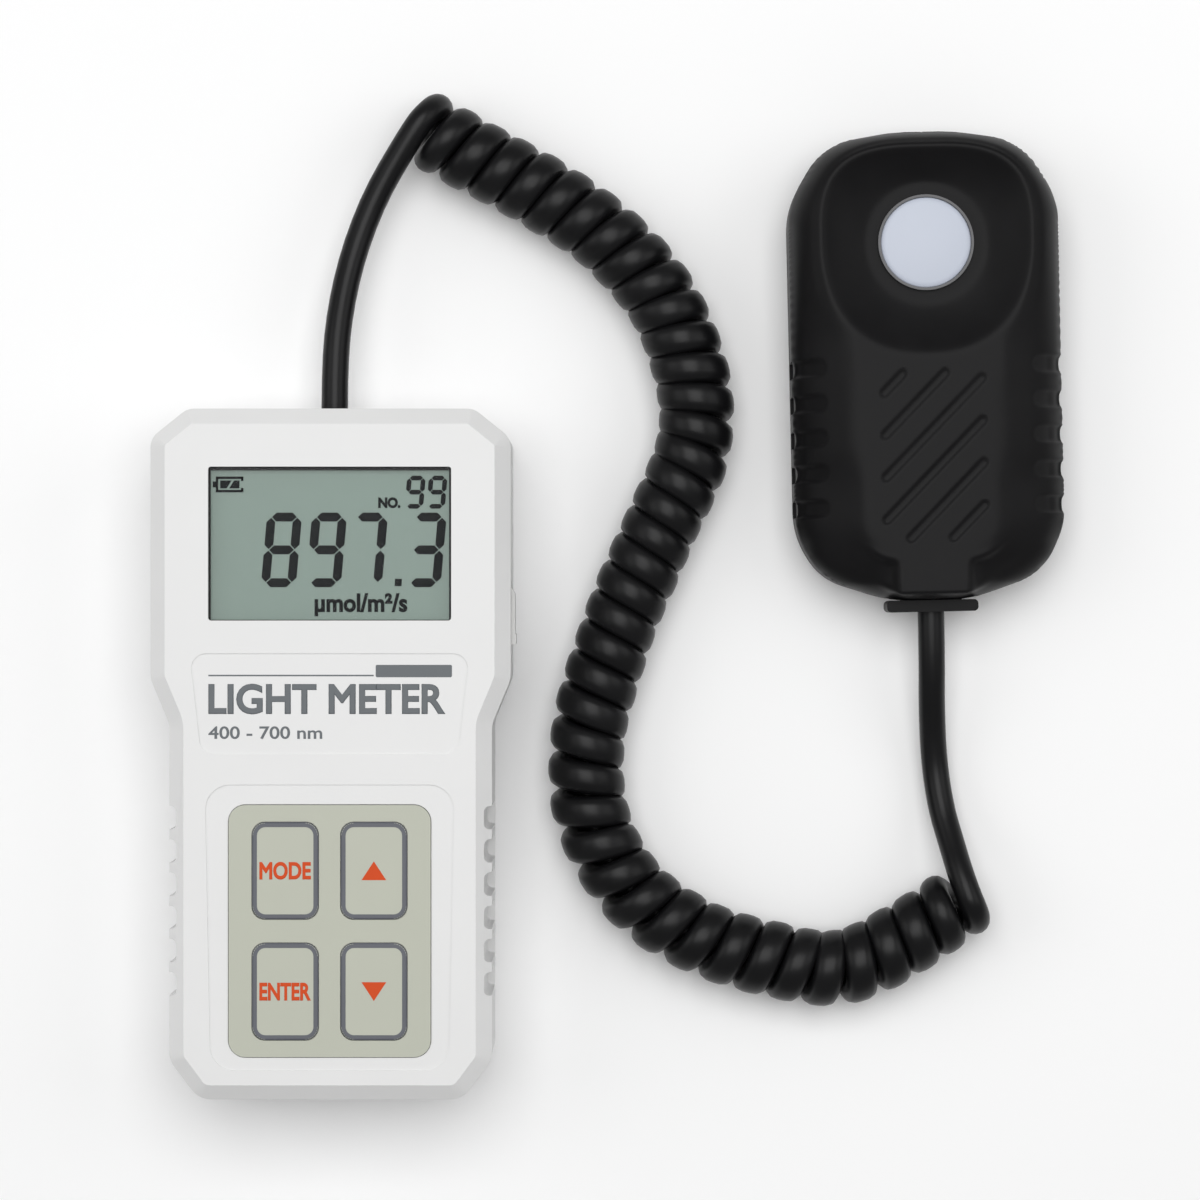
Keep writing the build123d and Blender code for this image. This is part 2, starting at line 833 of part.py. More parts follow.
with BuildPart() as head_cover:
    add(head_block.part)
    plate((120, 220), (0, 50), -1, head_parting, base=head_plane, mode=Mode.SUBTRACT)
    # dish around the diffuser, with a flat round floor
    with BuildSketch(head_plane.offset(dish_floor)):
        with Locations((0, dish_y)):
            Circle(dish_floor_radius)
    with BuildSketch(head_plane.offset(head_height + 0.1)):
        with Locations((0, dish_middle_y)):
            Ellipse(dish_half_width, dish_half_length)
    loft(mode=Mode.SUBTRACT)
    # hollow inside, deeper under the handle
    extrude(
        head_outline(head_parting, head_wall),
        amount=cover_underside - head_parting,
        mode=Mode.SUBTRACT,
    )
    plate(
        (handle_hollow, handle_hollow),
        (0, handle_hollow_y),
        head_parting,
        head_height - 2.6,
        corner=4,
        base=head_plane,
        mode=Mode.SUBTRACT,
    )
    disc(
        diffuser_radius + seal_width,
        (0, dish_y),
        head_parting,
        head_height,
        base=head_plane,
        mode=Mode.SUBTRACT,
    )
    for spot in head_screw_spots:
        disc(2.8, spot, head_parting, cover_underside + 0.5, base=head_plane)
        disc(head_screw_radius, spot, head_parting, head_screw_tip, base=head_plane, mode=Mode.SUBTRACT)
    # slanting grip grooves on the flat handle area
    for groove in range(groove_count):
        aside = groove * groove_spacing / 2 - groove_first_offset
        with BuildSketch(head_plane.offset(head_height - groove_depth)):
            with Locations(groove_field_centre):
                with Locations((aside, -aside)):
                    SlotOverall(50, groove_width, rotation=45)
                Rectangle(*groove_field, mode=Mode.INTERSECT)
        extrude(amount=groove_depth, mode=Mode.SUBTRACT)
    # opening for the gland
    plate((12.4, 6), (0, head_low_y), gland_z - 4.2, 15.2, base=head_plane, mode=Mode.SUBTRACT)
save(head_cover.part, "head_cover")

with BuildPart() as head_base:
    add(head_block.part)
    plate((120, 220), (0, 50), head_parting, head_height + 1, base=head_plane, mode=Mode.SUBTRACT)
    extrude(head_outline(2.0, head_wall), amount=head_height, mode=Mode.SUBTRACT)
    for spot in head_screw_spots:
        disc(3.2, spot, 1, head_parting, base=head_plane)
        disc(1.4, spot, -1, head_parting, base=head_plane, mode=Mode.SUBTRACT)
        disc(head_screw_head + 0.2, spot, -1, head_screw_seat, base=head_plane, mode=Mode.SUBTRACT)
    # posts under the sensor board
    for side in (-1, 1):
        board_post = (side * sensor_screw_x, dish_y)
        disc(2.4, board_post, 1, sensor_board_bottom, base=head_plane)
        disc(
            sensor_screw_radius,
            board_post,
            sensor_screw_low,
            sensor_board_bottom,
            base=head_plane,
            mode=Mode.SUBTRACT,
        )
        clamp_post = (side * head_clamp_post_x, head_clamp_y)
        disc(2.2, clamp_post, 1, head_clamp_bottom, base=head_plane)
        disc(1.0, clamp_post, 2.5, head_clamp_bottom, base=head_plane, mode=Mode.SUBTRACT)
    plate((12.4, 6), (0, head_low_y), gland_z - 4.2, 15.2, base=head_plane, mode=Mode.SUBTRACT)
save(head_base.part, "head_base")

with BuildPart() as head_screws:
    for spot in head_screw_spots:
        disc(head_screw_head, spot, head_screw_seat - 1.8, head_screw_seat, base=head_plane)
        disc(head_screw_radius, spot, head_screw_seat, head_screw_tip, base=head_plane)
        cross_slot(2.8, 0.7, spot, head_screw_seat - 2, head_screw_seat - 1, base=head_plane)
save(head_screws.part, "head_screws")

# ---------------------------------------------------------------- optics of the sensor head
optic_centre = (0, dish_y)
optic_top = cover_underside - 1.4
with BuildPart() as diffuser:
    disc(diffuser_radius, optic_centre, optic_top, diffuser_top, base=head_plane)
    fillet(diffuser.edges().group_by(Axis.Z)[-1], radius=0.6)
    disc(diffuser_flange_radius, optic_centre, optic_top, cover_underside, base=head_plane)
save(diffuser.part, "diffuser")

with BuildPart() as diffuser_seal:
    disc(diffuser_radius + seal_width, optic_centre, cover_underside, diffuser_top - 0.3, base=head_plane)
    disc(
        diffuser_radius,
        optic_centre,
        cover_underside,
        diffuser_top - 0.3,
        base=head_plane,
        mode=Mode.SUBTRACT,
    )
save(diffuser_seal.part, "diffuser_seal")

filter_bottom = optic_top - filter_thickness - 0.1
with BuildPart() as optic_holder:
    disc(holder_radius, optic_centre, sensor_board_top, optic_top, base=head_plane)
    disc(
        photodiode_radius + 0.2,
        optic_centre,
        sensor_board_top,
        optic_top,
        base=head_plane,
        mode=Mode.SUBTRACT,
    )
    disc(
        filter_radius + 0.1,
        optic_centre,
        filter_bottom,
        optic_top,
        base=head_plane,
        mode=Mode.SUBTRACT,
    )
save(optic_holder.part, "optic_holder")

with BuildPart() as optical_filter:
    disc(filter_radius, optic_centre, filter_bottom, filter_bottom + filter_thickness, base=head_plane)
save(optical_filter.part, "optical_filter")

with BuildPart() as photodiode:
    diode_top = sensor_board_top + photodiode_height
    disc(photodiode_radius, optic_centre, sensor_board_top, diode_top, base=head_plane)
save(photodiode.part, "photodiode")

with BuildPart() as sensor_board:
    disc(sensor_board_radius, optic_centre, sensor_board_bottom, sensor_board_top, base=head_plane)
    for side in (-1, 1):
        disc(
            sensor_screw_radius,
            (side * sensor_screw_x, dish_y),
            sensor_board_bottom,
            sensor_board_top,
            base=head_plane,
            mode=Mode.SUBTRACT,
        )
save(sensor_board.part, "sensor_board")

with BuildPart() as sensor_screws:
    for side in (-1, 1):
        spot = (side * sensor_screw_x, dish_y)
        disc(2 * sensor_screw_radius, spot, sensor_board_top, sensor_board_top + 1.2, base=head_plane)
        disc(sensor_screw_radius, spot, sensor_screw_low, sensor_board_top, base=head_plane)
        cross_slot(2.2, 0.5, spot, sensor_board_top + 0.7, sensor_board_top + 1.3, base=head_plane)
save(sensor_screws.part, "sensor_screws")

# ---------------------------------------------------------------- cord entry of the head
with BuildPart() as head_gland:
    plate(
        (gland_width, head_low_y),
        (0, head_low_y / 2),
        gland_z - gland_height / 2,
        gland_z + gland_height / 2,
        corner=0.9,
        base=head_plane,
    )
    plate((12.2, 4), (0, head_low_y + 1), gland_z - 4, gland_z + 4, base=head_plane)
save(head_gland.part, "head_gland")

head_cord_start = head_plane.from_local_coords((0, head_low_y + 3, gland_z))
head_cord_end = head_plane.from_local_coords((0, 24, gland_z))
with BuildPart() as head_inner_cord:
    head_cord_run = Vector(*head_cord_end) - Vector(*head_cord_start)
    rod(cord_radius, head_cord_start, head_cord_run, head_cord_run.length)
save(head_inner_cord.part, "head_inner_cord")

with BuildPart() as head_cord_clamp:
    clamp_place = (0, head_clamp_y)
    plate((17, 4.6), clamp_place, head_clamp_bottom, head_clamp_top, corner=2, base=head_plane)
    rod(cord_radius, head_cord_start, head_cord_run, 16, mode=Mode.SUBTRACT)
    plate((2 * cord_radius, 6), clamp_place, 7, gland_z, base=head_plane, mode=Mode.SUBTRACT)
    for side in (-1, 1):
        spot = (side * head_clamp_post_x, head_clamp_y)
        disc(1.0, spot, 7, 16, base=head_plane, mode=Mode.SUBTRACT)
        disc(2.0, spot, head_clamp_seat, 16, base=head_plane, mode=Mode.SUBTRACT)
save(head_cord_clamp.part, "head_cord_clamp")

with BuildPart() as head_clamp_screws:
    for side in (-1, 1):
        spot = (side * head_clamp_post_x, head_clamp_y)
        disc(1.9, spot, head_clamp_seat, head_clamp_seat + 1.2, base=head_plane)
        disc(1.0, spot, 2.5, head_clamp_seat, base=head_plane)
        cross_slot(2.4, 0.6, spot, head_clamp_seat + 0.7, head_clamp_seat + 1.3, base=head_plane)
save(head_clamp_screws.part, "head_clamp_screws")

# ---------------------------------------------------------------- cord
tube(meter_tail_route, cord_radius, "cord_tail_meter")
tube(coil_route, coil_radius, "coil_cord")
tube(head_tail_route, cord_radius, "cord_tail_head")
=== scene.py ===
"""Looks of the hand-held light meter and its wired sensor head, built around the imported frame.

The scene is in metres, in the frame of the CAD model: the meter lies on its back on z = 0,
its display towards +Z, and the sensor head lies to its right at the other end of the cord.
The prints and the head are laid out in millimetres, and MM turns their sizes into metres.
"""

import json
import math

import bmesh
import bpy
import numpy as np
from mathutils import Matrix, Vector


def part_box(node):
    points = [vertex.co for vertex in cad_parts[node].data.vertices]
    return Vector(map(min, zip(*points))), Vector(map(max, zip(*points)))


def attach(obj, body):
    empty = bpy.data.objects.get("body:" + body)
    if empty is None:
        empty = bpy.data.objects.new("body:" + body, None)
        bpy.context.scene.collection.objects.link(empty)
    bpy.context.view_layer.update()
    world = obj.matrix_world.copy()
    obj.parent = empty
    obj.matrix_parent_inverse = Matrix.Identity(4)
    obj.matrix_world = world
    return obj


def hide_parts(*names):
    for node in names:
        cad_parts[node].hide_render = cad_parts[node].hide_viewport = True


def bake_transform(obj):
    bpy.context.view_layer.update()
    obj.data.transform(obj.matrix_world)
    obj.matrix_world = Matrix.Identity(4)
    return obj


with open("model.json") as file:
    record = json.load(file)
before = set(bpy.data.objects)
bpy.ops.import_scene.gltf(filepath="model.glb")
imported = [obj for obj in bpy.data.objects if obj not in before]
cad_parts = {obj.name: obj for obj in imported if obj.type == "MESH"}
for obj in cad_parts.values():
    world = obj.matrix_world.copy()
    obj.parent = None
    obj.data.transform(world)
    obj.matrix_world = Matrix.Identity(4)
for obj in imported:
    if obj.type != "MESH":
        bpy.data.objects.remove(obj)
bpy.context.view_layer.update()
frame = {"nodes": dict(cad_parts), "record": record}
MM = 0.001

# ------------------------------------------------------------------ camera
VIEW_CENTRE = (0.0546, 0.0312)
VIEW_HEIGHT = 0.900
VIEW_WIDTH = 0.2515
SENSOR_WIDTH = 36.0


def add_camera():
    """A camera straight above, like the one of a product photograph."""
    data = bpy.data.cameras.new("camera")
    data.sensor_width = SENSOR_WIDTH
    data.lens = SENSOR_WIDTH * VIEW_HEIGHT / VIEW_WIDTH
    camera = bpy.data.objects.new("camera", data)
    camera.location = (*VIEW_CENTRE, VIEW_HEIGHT)
    bpy.context.collection.objects.link(camera)
    bpy.context.scene.camera = camera


add_camera()

# ------------------------------------------------------------------ cord: facts and route
CORD_DIAMETER = 0.0055
COIL_AXIS_HEIGHT = 0.00805
COIL_RADIUS = 0.0053
COIL_TURNS = 41
POINTS_PER_TURN = 16
TURN_HALF_WIDTH = 0.00318
TURN_HALF_THICKNESS = 0.00270
SQUARENESS = 3.2
AXIS_STEPS = 16
CORD_STEPS = 3
HEAD_CORD_STEPS = 12
TUBE_ROUNDNESS = 6
# where along the coil its spacing changes, over what share of it, and by how much:
# the turns sit closer in the upper bend and open up a little in the lower one
SPACING_CHANGES = ((0.40, 0.14, -0.07), (0.70, 0.13, 0.11))
# how far the coil's radius strays, and how fast that changes from turn to turn
UNEVENNESS = ((0.012, 1.7), (0.010, 4.3))
METER_TAIL = [
    (0, 0.0704, 0.016),
    (0, 0.080, 0.016),
    (0.001, 0.091, 0.0144),
    (0.0036, 0.103, 0.0124),
    (0.0082, 0.115, 0.0120),
    (0.0143, 0.1252, 0.0130),
]
COIL_ROUTE = [
    (0.0172, 0.1297),
    (0.030, 0.1225),
    (0.044, 0.1152),
    (0.058, 0.1055),
    (0.0685, 0.093),
    (0.074, 0.0785),
    (0.0752, 0.064),
    (0.0686, 0.0495),
    (0.0608, 0.0323),
    (0.055, 0.016),
    (0.0513, 0.001),
    (0.0523, -0.0145),
    (0.060, -0.029),
    (0.074, -0.039),
    (0.090, -0.0435),
    (0.104, -0.0462),
    (0.1175, -0.040),
    (0.1309, -0.0303),
]
HEAD_TAIL = [
    (0.1291, -0.0252, 0.0120),
    (0.1275, -0.019, 0.0084),
    (0.1256, -0.012, 0.0054),
    (0.1242, -0.002, 0.0044),
    (0.1235, 0.009, 0.0078),
    (0.12332, 0.019, 0.011),
    (0.1231, 0.0288, 0.011),
]


def nurbs_object(name, points, resolution, thickness=0.0):
    """A curve object of one NURBS spline that takes the points as its control points."""
    curve = bpy.data.curves.new(name, "CURVE")
    curve.dimensions = "3D"
    curve.bevel_depth = thickness
    curve.bevel_resolution = TUBE_ROUNDNESS
    curve.use_fill_caps = thickness > 0
    spline = curve.splines.new("NURBS")
    spline.points.add(len(points) - 1)
    for spot, point in zip(spline.points, points):
        spot.co = (*point, 1.0)
    spline.order_u = 3
    spline.use_endpoint_u = True
    spline.resolution_u = resolution
    curve.resolution_u = resolution
    piece = bpy.data.objects.new(name, curve)
    bpy.context.collection.objects.link(piece)
    return piece


def curve_mesh(piece):
    """The mesh of a curve object, and the curve object taken out of the scene."""
    bpy.context.view_layer.update()
    mesh = bpy.data.meshes.new_from_object(piece)
    bpy.data.objects.remove(piece)
    return mesh


def route_line(points, resolution):
    """Points read from the NURBS spline of a route."""
    mesh = curve_mesh(nurbs_object("route", points, resolution))
    return np.array([vertex.co[:] for vertex in mesh.vertices])


def turns_along(steps):
    """How many turns the coil has made at each point of its axis, from the axis's steps."""
    along = np.concatenate(([0.0], np.cumsum(steps))) / steps.sum()
    spacing = np.ones(len(along))
    for place, spread, change in SPACING_CHANGES:
        spacing += change * np.exp(-(((along - place) / spread) ** 2))
    turns = np.concatenate(([0.0], np.cumsum(steps / spacing[1:])))
    return along, turns * COIL_TURNS / turns[-1]


def coil_points():
    """The control points of the coil's turns, wound left-handed round the coil's route."""
    axis = route_line([(x, y, COIL_AXIS_HEIGHT) for x, y in COIL_ROUTE], AXIS_STEPS)
    along, turns = turns_along(np.linalg.norm(np.diff(axis, axis=0), axis=1))
    travel = np.gradient(axis, along, axis=0)
    travel /= np.linalg.norm(travel, axis=1)[:, None]
    points = []
    for step in range(COIL_TURNS * POINTS_PER_TURN + 1):
        turn = step / POINTS_PER_TURN
        centre = np.array([np.interp(turn, turns, axis[:, i]) for i in range(3)])
        heading = np.array([np.interp(turn, turns, travel[:, i]) for i in range(3)])
        right = np.array([heading[1], -heading[0], 0.0])
        angle = math.pi / 2 + math.tau * turn
        radius = COIL_RADIUS * sum((size * math.sin(rate * turn) for size, rate in UNEVENNESS), 1)
        sideways = right * radius * math.cos(angle)
        points.append(centre + sideways + np.array([0, 0, COIL_RADIUS * math.sin(angle)]))
    return points


def pressed(offset, heading):
    """An offset from the cord's line, moved onto the rounded square section of the coil's turns."""
    along = float(offset @ heading)
    across = offset - along * heading
    reach = float(np.linalg.norm(across))
    radius = math.hypot(along, reach)
    cosine = abs(along) / radius
    sine = reach / radius
    grow = (cosine**SQUARENESS + sine**SQUARENESS) ** (-1 / SQUARENESS)
    wide = math.copysign(TURN_HALF_WIDTH * cosine * grow, along)
    thick = TURN_HALF_THICKNESS * sine * grow
    return wide * heading + across * (thick / max(reach, 1e-9))


def flatten_turns(mesh, path, first, last):
    """Presses the tube's section between two path points, easing in and out over one turn."""
    sides = len(mesh.vertices) // len(path)
    end_caps = len(mesh.vertices) - sides * len(path)
    turn = POINTS_PER_TURN * CORD_STEPS
    for ring in range(first, last):
        behind = max(ring - turn // 2, 0)
        ahead = min(ring + turn // 2, len(path) - 1)
        heading = path[ahead] - path[behind]
        heading /= np.linalg.norm(heading)
        ease = min(1.0, (ring - first) / turn, (last - ring) / turn)
        first_vertex = end_caps + ring * sides
        for vertex in mesh.vertices[first_vertex : first_vertex + sides]:
            offset = np.array(vertex.co) - path[ring]
            vertex.co = path[ring] + offset * (1 - ease) + pressed(offset, heading) * ease


def cord_tube(name, points, resolution):
    """A round mesh tube along a route, and the line that it follows."""
    path = route_line(points, resolution)
    mesh = curve_mesh(nurbs_object(name, points, resolution, thickness=CORD_DIAMETER / 2))
    tube = bpy.data.objects.new(name, mesh)
    bpy.context.collection.objects.link(tube)
    for polygon in mesh.polygons:
        polygon.use_smooth = True
    length = float(np.linalg.norm(np.diff(path, axis=0), axis=1).sum())
    print(name, "length", round(length, 4), "path", len(path), "vertices", len(mesh.vertices))
    return tube, path


def add_long_cord(coil, meeting):
    """The tail at the meter and the coil, up to the point where the other tube goes on."""
    points = METER_TAIL + [tuple(point) for point in coil] + [meeting]
    tube, path = cord_tube("cord", points, CORD_STEPS)
    share = len(path) / len(points)
    first = round((len(METER_TAIL) + POINTS_PER_TURN / 2) * share)
    last = round((len(METER_TAIL) + len(coil) - POINTS_PER_TURN / 2) * share)
    flatten_turns(tube.data, path, first, last)
    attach(tube, "meter")
    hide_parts("cord_tail_meter", "coil_cord")
    return tube


def add_head_cord(meeting):
    """The tail at the head."""
    tube, path = cord_tube("cord_at_head", [meeting] + HEAD_TAIL, HEAD_CORD_STEPS)
    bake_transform(tube)
    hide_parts("cord_tail_head")
    return tube


def add_cords():
    """The cord as two tubes that meet where the coil ends."""
    coil = coil_points()
    meeting = tuple((coil[-1] + np.array(HEAD_TAIL[0])) / 2)
    return add_long_cord(coil, meeting), add_head_cord(meeting)


cords = add_cords()


# ------------------------------------------------------------------ materials
CLOUD_SIZE = 12.0
CLOUD_GLOSS = (-0.04, 0.05)
GRAIN_STRENGTH = 0.35
MARK_SIZE = 0.6
MARK_DEPTH = 0.01
MARK_GLOSS = (-0.06, 0.12)
MARK_SHADE = 0.82
MARK_STRENGTH = 0.25
RAMP_ENDS = (0.35, 0.65)


def new_material(name, color, roughness, metallic=0.0, specular=0.5):
    """A Principled material with its plain values set; returns the material and its shader."""
    material = bpy.data.materials.new(name)
    material.use_nodes = True
    shader = material.node_tree.nodes["Principled BSDF"]
    shader.inputs["Base Color"].default_value = (*color, 1)
    shader.inputs["Roughness"].default_value = roughness
    shader.inputs["Metallic"].default_value = metallic
    shader.inputs["Specular IOR Level"].default_value = specular
    return material, shader


def add_noise(tree, size, detail):
    """A noise texture in object space whose grains are about size millimetres across."""
    place = tree.nodes.new("ShaderNodeTexCoord")
    noise = tree.nodes.new("ShaderNodeTexNoise")
    noise.inputs["Scale"].default_value = 1.0 / (size * MM)
    noise.inputs["Detail"].default_value = detail
    tree.links.new(place.outputs["Object"], noise.inputs["Vector"])
    return noise.outputs["Fac"]


def vary_color(tree, shader, source, low, high):
    """Lets a grey value move the colour between two colours."""
    ramp = tree.nodes.new("ShaderNodeValToRGB")
    for element, position, color in zip(ramp.color_ramp.elements, RAMP_ENDS, (low, high)):
        element.position = position
        element.color = (*color, 1)
    tree.links.new(source, ramp.inputs["Fac"])
    tree.links.new(ramp.outputs["Color"], shader.inputs["Base Color"])


def vary_gloss(tree, shader, source, roughness, change):
    """Lets a grey value move the roughness between two changes to it."""
    gloss = tree.nodes.new("ShaderNodeMapRange")
    gloss.inputs["To Min"].default_value = roughness + change[0]
    gloss.inputs["To Max"].default_value = roughness + change[1]
    tree.links.new(source, gloss.inputs["Value"])
    tree.links.new(gloss.outputs["Result"], shader.inputs["Roughness"])


def raise_grain(tree, shader, source, strength, depth):
    """Raises a grain of that depth in millimetres from a grey value."""
    bump = tree.nodes.new("ShaderNodeBump")
    bump.inputs["Strength"].default_value = strength
    bump.inputs["Distance"].default_value = depth * MM
    tree.links.new(source, bump.inputs["Height"])
    tree.links.new(bump.outputs["Normal"], shader.inputs["Normal"])


def moulded(name, color, roughness, grain, depth, shade, specular=0.5):
    """Moulded plastic or rubber: faint cloudy colour and gloss, and a fine even grain."""
    material, shader = new_material(name, color, roughness, specular=specular)
    tree = material.node_tree
    cloud = add_noise(tree, CLOUD_SIZE, detail=3)
    darker = [value * (1 - shade) for value in color]
    lighter = [min(1, value * (1 + shade)) for value in color]
    vary_color(tree, shader, cloud, darker, lighter)
    vary_gloss(tree, shader, cloud, roughness, CLOUD_GLOSS)
    raise_grain(tree, shader, add_noise(tree, grain, detail=2), GRAIN_STRENGTH, depth)
    return material


def metal(name, color, roughness):
    """Turned or rolled metal with fine drawn marks and faint stains."""
    material, shader = new_material(name, color, roughness, metallic=1.0)
    tree = material.node_tree
    marks = add_noise(tree, MARK_SIZE, detail=4)
    vary_color(tree, shader, marks, [value * MARK_SHADE for value in color], color)
    vary_gloss(tree, shader, marks, roughness, MARK_GLOSS)
    raise_grain(tree, shader, marks, MARK_STRENGTH, MARK_DEPTH)
    return material


def clear(name, color, roughness, grain, depth, shade, opacity):
    """Clear plastic: it is thin, so it dims what lies behind it by its opacity alone."""
    material = moulded(name, color, roughness, grain, depth, shade)
    material.node_tree.nodes["Principled BSDF"].inputs["Alpha"].default_value = opacity
    return material


# slot: colour, roughness, grain and its depth in millimetres, shading, and specular level if low
MOULDED = {
    "case_white": ((0.722, 0.722, 0.719), 0.46, 0.4, 0.012, 0.008),
    "lcd_cell": ((0.198, 0.272, 0.235), 0.4, 0.3, 0.002, 0.02),
    "inner_plastic": ((0.05, 0.05, 0.05), 0.5, 0.35, 0.02, 0.1),
    "rubber_grey": ((0.12, 0.12, 0.125), 0.6, 0.35, 0.02, 0.03),
    "board_green": ((0.02, 0.14, 0.05), 0.35, 0.8, 0.02, 0.2),
    "chip_black": ((0.025, 0.025, 0.026), 0.55, 0.35, 0.02, 0.1),
    "film_clear": ((0.66, 0.65, 0.58), 0.3, 1.0, 0.004, 0.04),
    "overlay_beige": ((0.455, 0.468, 0.392), 0.5, 0.2, 0.01, 0.01),
    "battery_case": ((0.05, 0.055, 0.07), 0.32, 2.0, 0.02, 0.1),
    "lead_red": ((0.42, 0.02, 0.02), 0.45, 0.35, 0.02, 0.05),
    "cover_rubber": ((0.70, 0.70, 0.69), 0.6, 0.4, 0.02, 0.01),
    "cord_black": ((0.005, 0.005, 0.0055), 0.34, 0.6, 0.02, 0.15, 0.2),
    "head_black": ((0.007, 0.0068, 0.0073), 0.42, 0.35, 0.03, 0.12, 0.1),
    "diffuser_white": ((0.488, 0.524, 0.606), 0.42, 0.5, 0.01, 0.01),
    "filter_glass": ((0.10, 0.22, 0.30), 0.12, 2.0, 0.002, 0.04),
    "lcd_ink": ((0.008, 0.009, 0.010), 0.6, 0.3, 0.002, 0.05, 0.1),
    "label_grey": ((0.105, 0.118, 0.128), 0.5, 0.2, 0.004, 0.04),
    "outline_grey": ((0.094, 0.100, 0.118), 0.5, 0.2, 0.004, 0.04),
    "key_orange": ((0.60, 0.068, 0.012), 0.6, 0.2, 0.004, 0.02, 0.2),
}
# slot: colour and roughness
METALS = {
    "screw_steel": ((0.56, 0.56, 0.55), 0.34),
    "dome_steel": ((0.66, 0.66, 0.65), 0.26),
    "bush_brass": ((0.76, 0.58, 0.27), 0.3),
}
MATERIALS = {name: moulded(name, *look) for name, look in MOULDED.items()}
MATERIALS.update({name: metal(name, *look) for name, look in METALS.items()})
MATERIALS["window_clear"] = clear(
    "window_clear", (0.06, 0.065, 0.065), 0.09, grain=3.0, depth=0.002, shade=0.02, opacity=0.03
)


def dress(piece, material_name):
    """Gives a piece one material and no other."""
    piece.data.materials.clear()
    piece.data.materials.append(MATERIALS[material_name])


record = frame["record"]
slot_of = {part["node"]: part["material_slot"] for part in record["subparts"]}
body_of = {node: body for body, nodes in record["behaviour"]["bodies"].items() for node in nodes}
for node, piece in frame["nodes"].items():
    dress(piece, slot_of[node])
for tube in cords:
    dress(tube, "cord_black")


# ------------------------------------------------------------------ softened CAD pieces
BEVEL_SEGMENTS = 3
BEVEL_ANGLE = 28
FLAT_FACE_WEIGHT = 100
# node: how wide its edges are rounded, and below what distance its points are joined first, in millimetres
SOFTENED = {
    "front_shell": (0.2, 0.13),
    "rear_shell": (0.2, 0.01),
    "head_base": (0.2, 0.01),
    "battery_door": (0.2, 0.01),
    "port_cover": (0.1, 0.01),
    "head_gland": (0.12, 0.01),
}


def evaluated_mesh(piece):
    """The mesh of an object with its modifiers applied."""
    bpy.context.view_layer.update()
    graph = bpy.context.evaluated_depsgraph_get()
    return bpy.data.meshes.new_from_object(piece.evaluated_get(graph))


def add_softened(node, width, merge):
    """A copy of a CAD node whose sharp edges are rounded, as a moulding's are."""
    piece = bpy.data.objects.new(node + "_moulding", frame["nodes"][node].data.copy())
    bpy.context.collection.objects.link(piece)
    shape = bmesh.new()
    shape.from_mesh(piece.data)
    bmesh.ops.remove_doubles(shape, verts=shape.verts, dist=merge * MM)
    shape.to_mesh(piece.data)
    shape.free()
    bevel = piece.modifiers.new("round", "BEVEL")
    bevel.width = width * MM
    bevel.segments = BEVEL_SEGMENTS
    bevel.limit_method = "ANGLE"
    bevel.angle_limit = math.radians(BEVEL_ANGLE)
    bevel.use_clamp_overlap = True
    flat = piece.modifiers.new("flat", "WEIGHTED_NORMAL")
    flat.weight = FLAT_FACE_WEIGHT
    flat.keep_sharp = True
    for polygon in piece.data.polygons:
        polygon.use_smooth = True
    mesh = evaluated_mesh(piece)
    piece.modifiers.clear()
    piece.data = mesh
    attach(piece, body_of[node])
    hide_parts(node)


for node, (width, merge) in SOFTENED.items():
    add_softened(node, width, merge)


# ------------------------------------------------------------------ prints and display
PRINT_LIFT = 0.005
PRINT_THICKNESS = 0.035
LABEL_RECESS = 0.3
LABEL_THICKNESS = 0.04
INK_LIFT = 0.02
INK_THICKNESS = 0.05
TEXT_RESOLUTION = 5


def new_piece(name, shape, material_name, body):
    """A finished object from a bmesh, riding on a body."""
    bmesh.ops.remove_doubles(shape, verts=shape.verts, dist=1e-8)
    bmesh.ops.recalc_face_normals(shape, faces=shape.faces)
    mesh = bpy.data.meshes.new(name)
    shape.to_mesh(mesh)
    shape.free()
    piece = bpy.data.objects.new(name, mesh)
    bpy.context.collection.objects.link(piece)
    dress(piece, material_name)
    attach(piece, body)
    return piece


def add_prism(shape, outline, layer):
    """A closed prism over a convex outline between two heights, all in millimetres."""
    floor, roof = [[shape.verts.new((x * MM, y * MM, z * MM)) for x, y in outline] for z in layer]
    shape.faces.new(floor)
    shape.faces.new(roof)
    for i in range(len(outline)):
        j = (i + 1) % len(outline)
        shape.faces.new((floor[i], floor[j], roof[j], roof[i]))


def add_bar(shape, left, right, base, top, layer):
    """A rectangular bar between two heights."""
    add_prism(shape, [(left, base), (right, base), (right, top), (left, top)], layer)


def add_loops(shape, loops):
    """A closed ring-shaped solid through loops of equal length, the last joined to the first."""
    rows = [[shape.verts.new([value * MM for value in point]) for point in loop] for loop in loops]
    for row, after in zip(rows, rows[1:] + rows[:1]):
        for i in range(len(row)):
            j = (i + 1) % len(row)
            shape.faces.new((row[i], row[j], after[j], after[i]))


def add_text(shape, words, box, layer, weight):
    """Raised words in the built-in font, stretched to fill a box (left, right, base, top)."""
    curve = bpy.data.curves.new("words", "FONT")
    curve.body = words
    curve.extrude = 0.5
    curve.bevel_depth = weight
    curve.bevel_resolution = 0
    curve.resolution_u = TEXT_RESOLUTION
    piece = bpy.data.objects.new("words", curve)
    bpy.context.collection.objects.link(piece)
    mesh = curve_mesh(piece)
    spots = np.array([vertex.co[:] for vertex in mesh.vertices])
    least = spots.min(axis=0)
    low = np.array((box[0], box[2], layer[0]))
    high = np.array((box[1], box[3], layer[1]))
    places = low + (spots - least) / (spots.max(axis=0) - least) * (high - low)
    for vertex, place in zip(mesh.vertices, places):
        vertex.co = place * MM
    shape.from_mesh(mesh)
    bpy.data.meshes.remove(mesh)


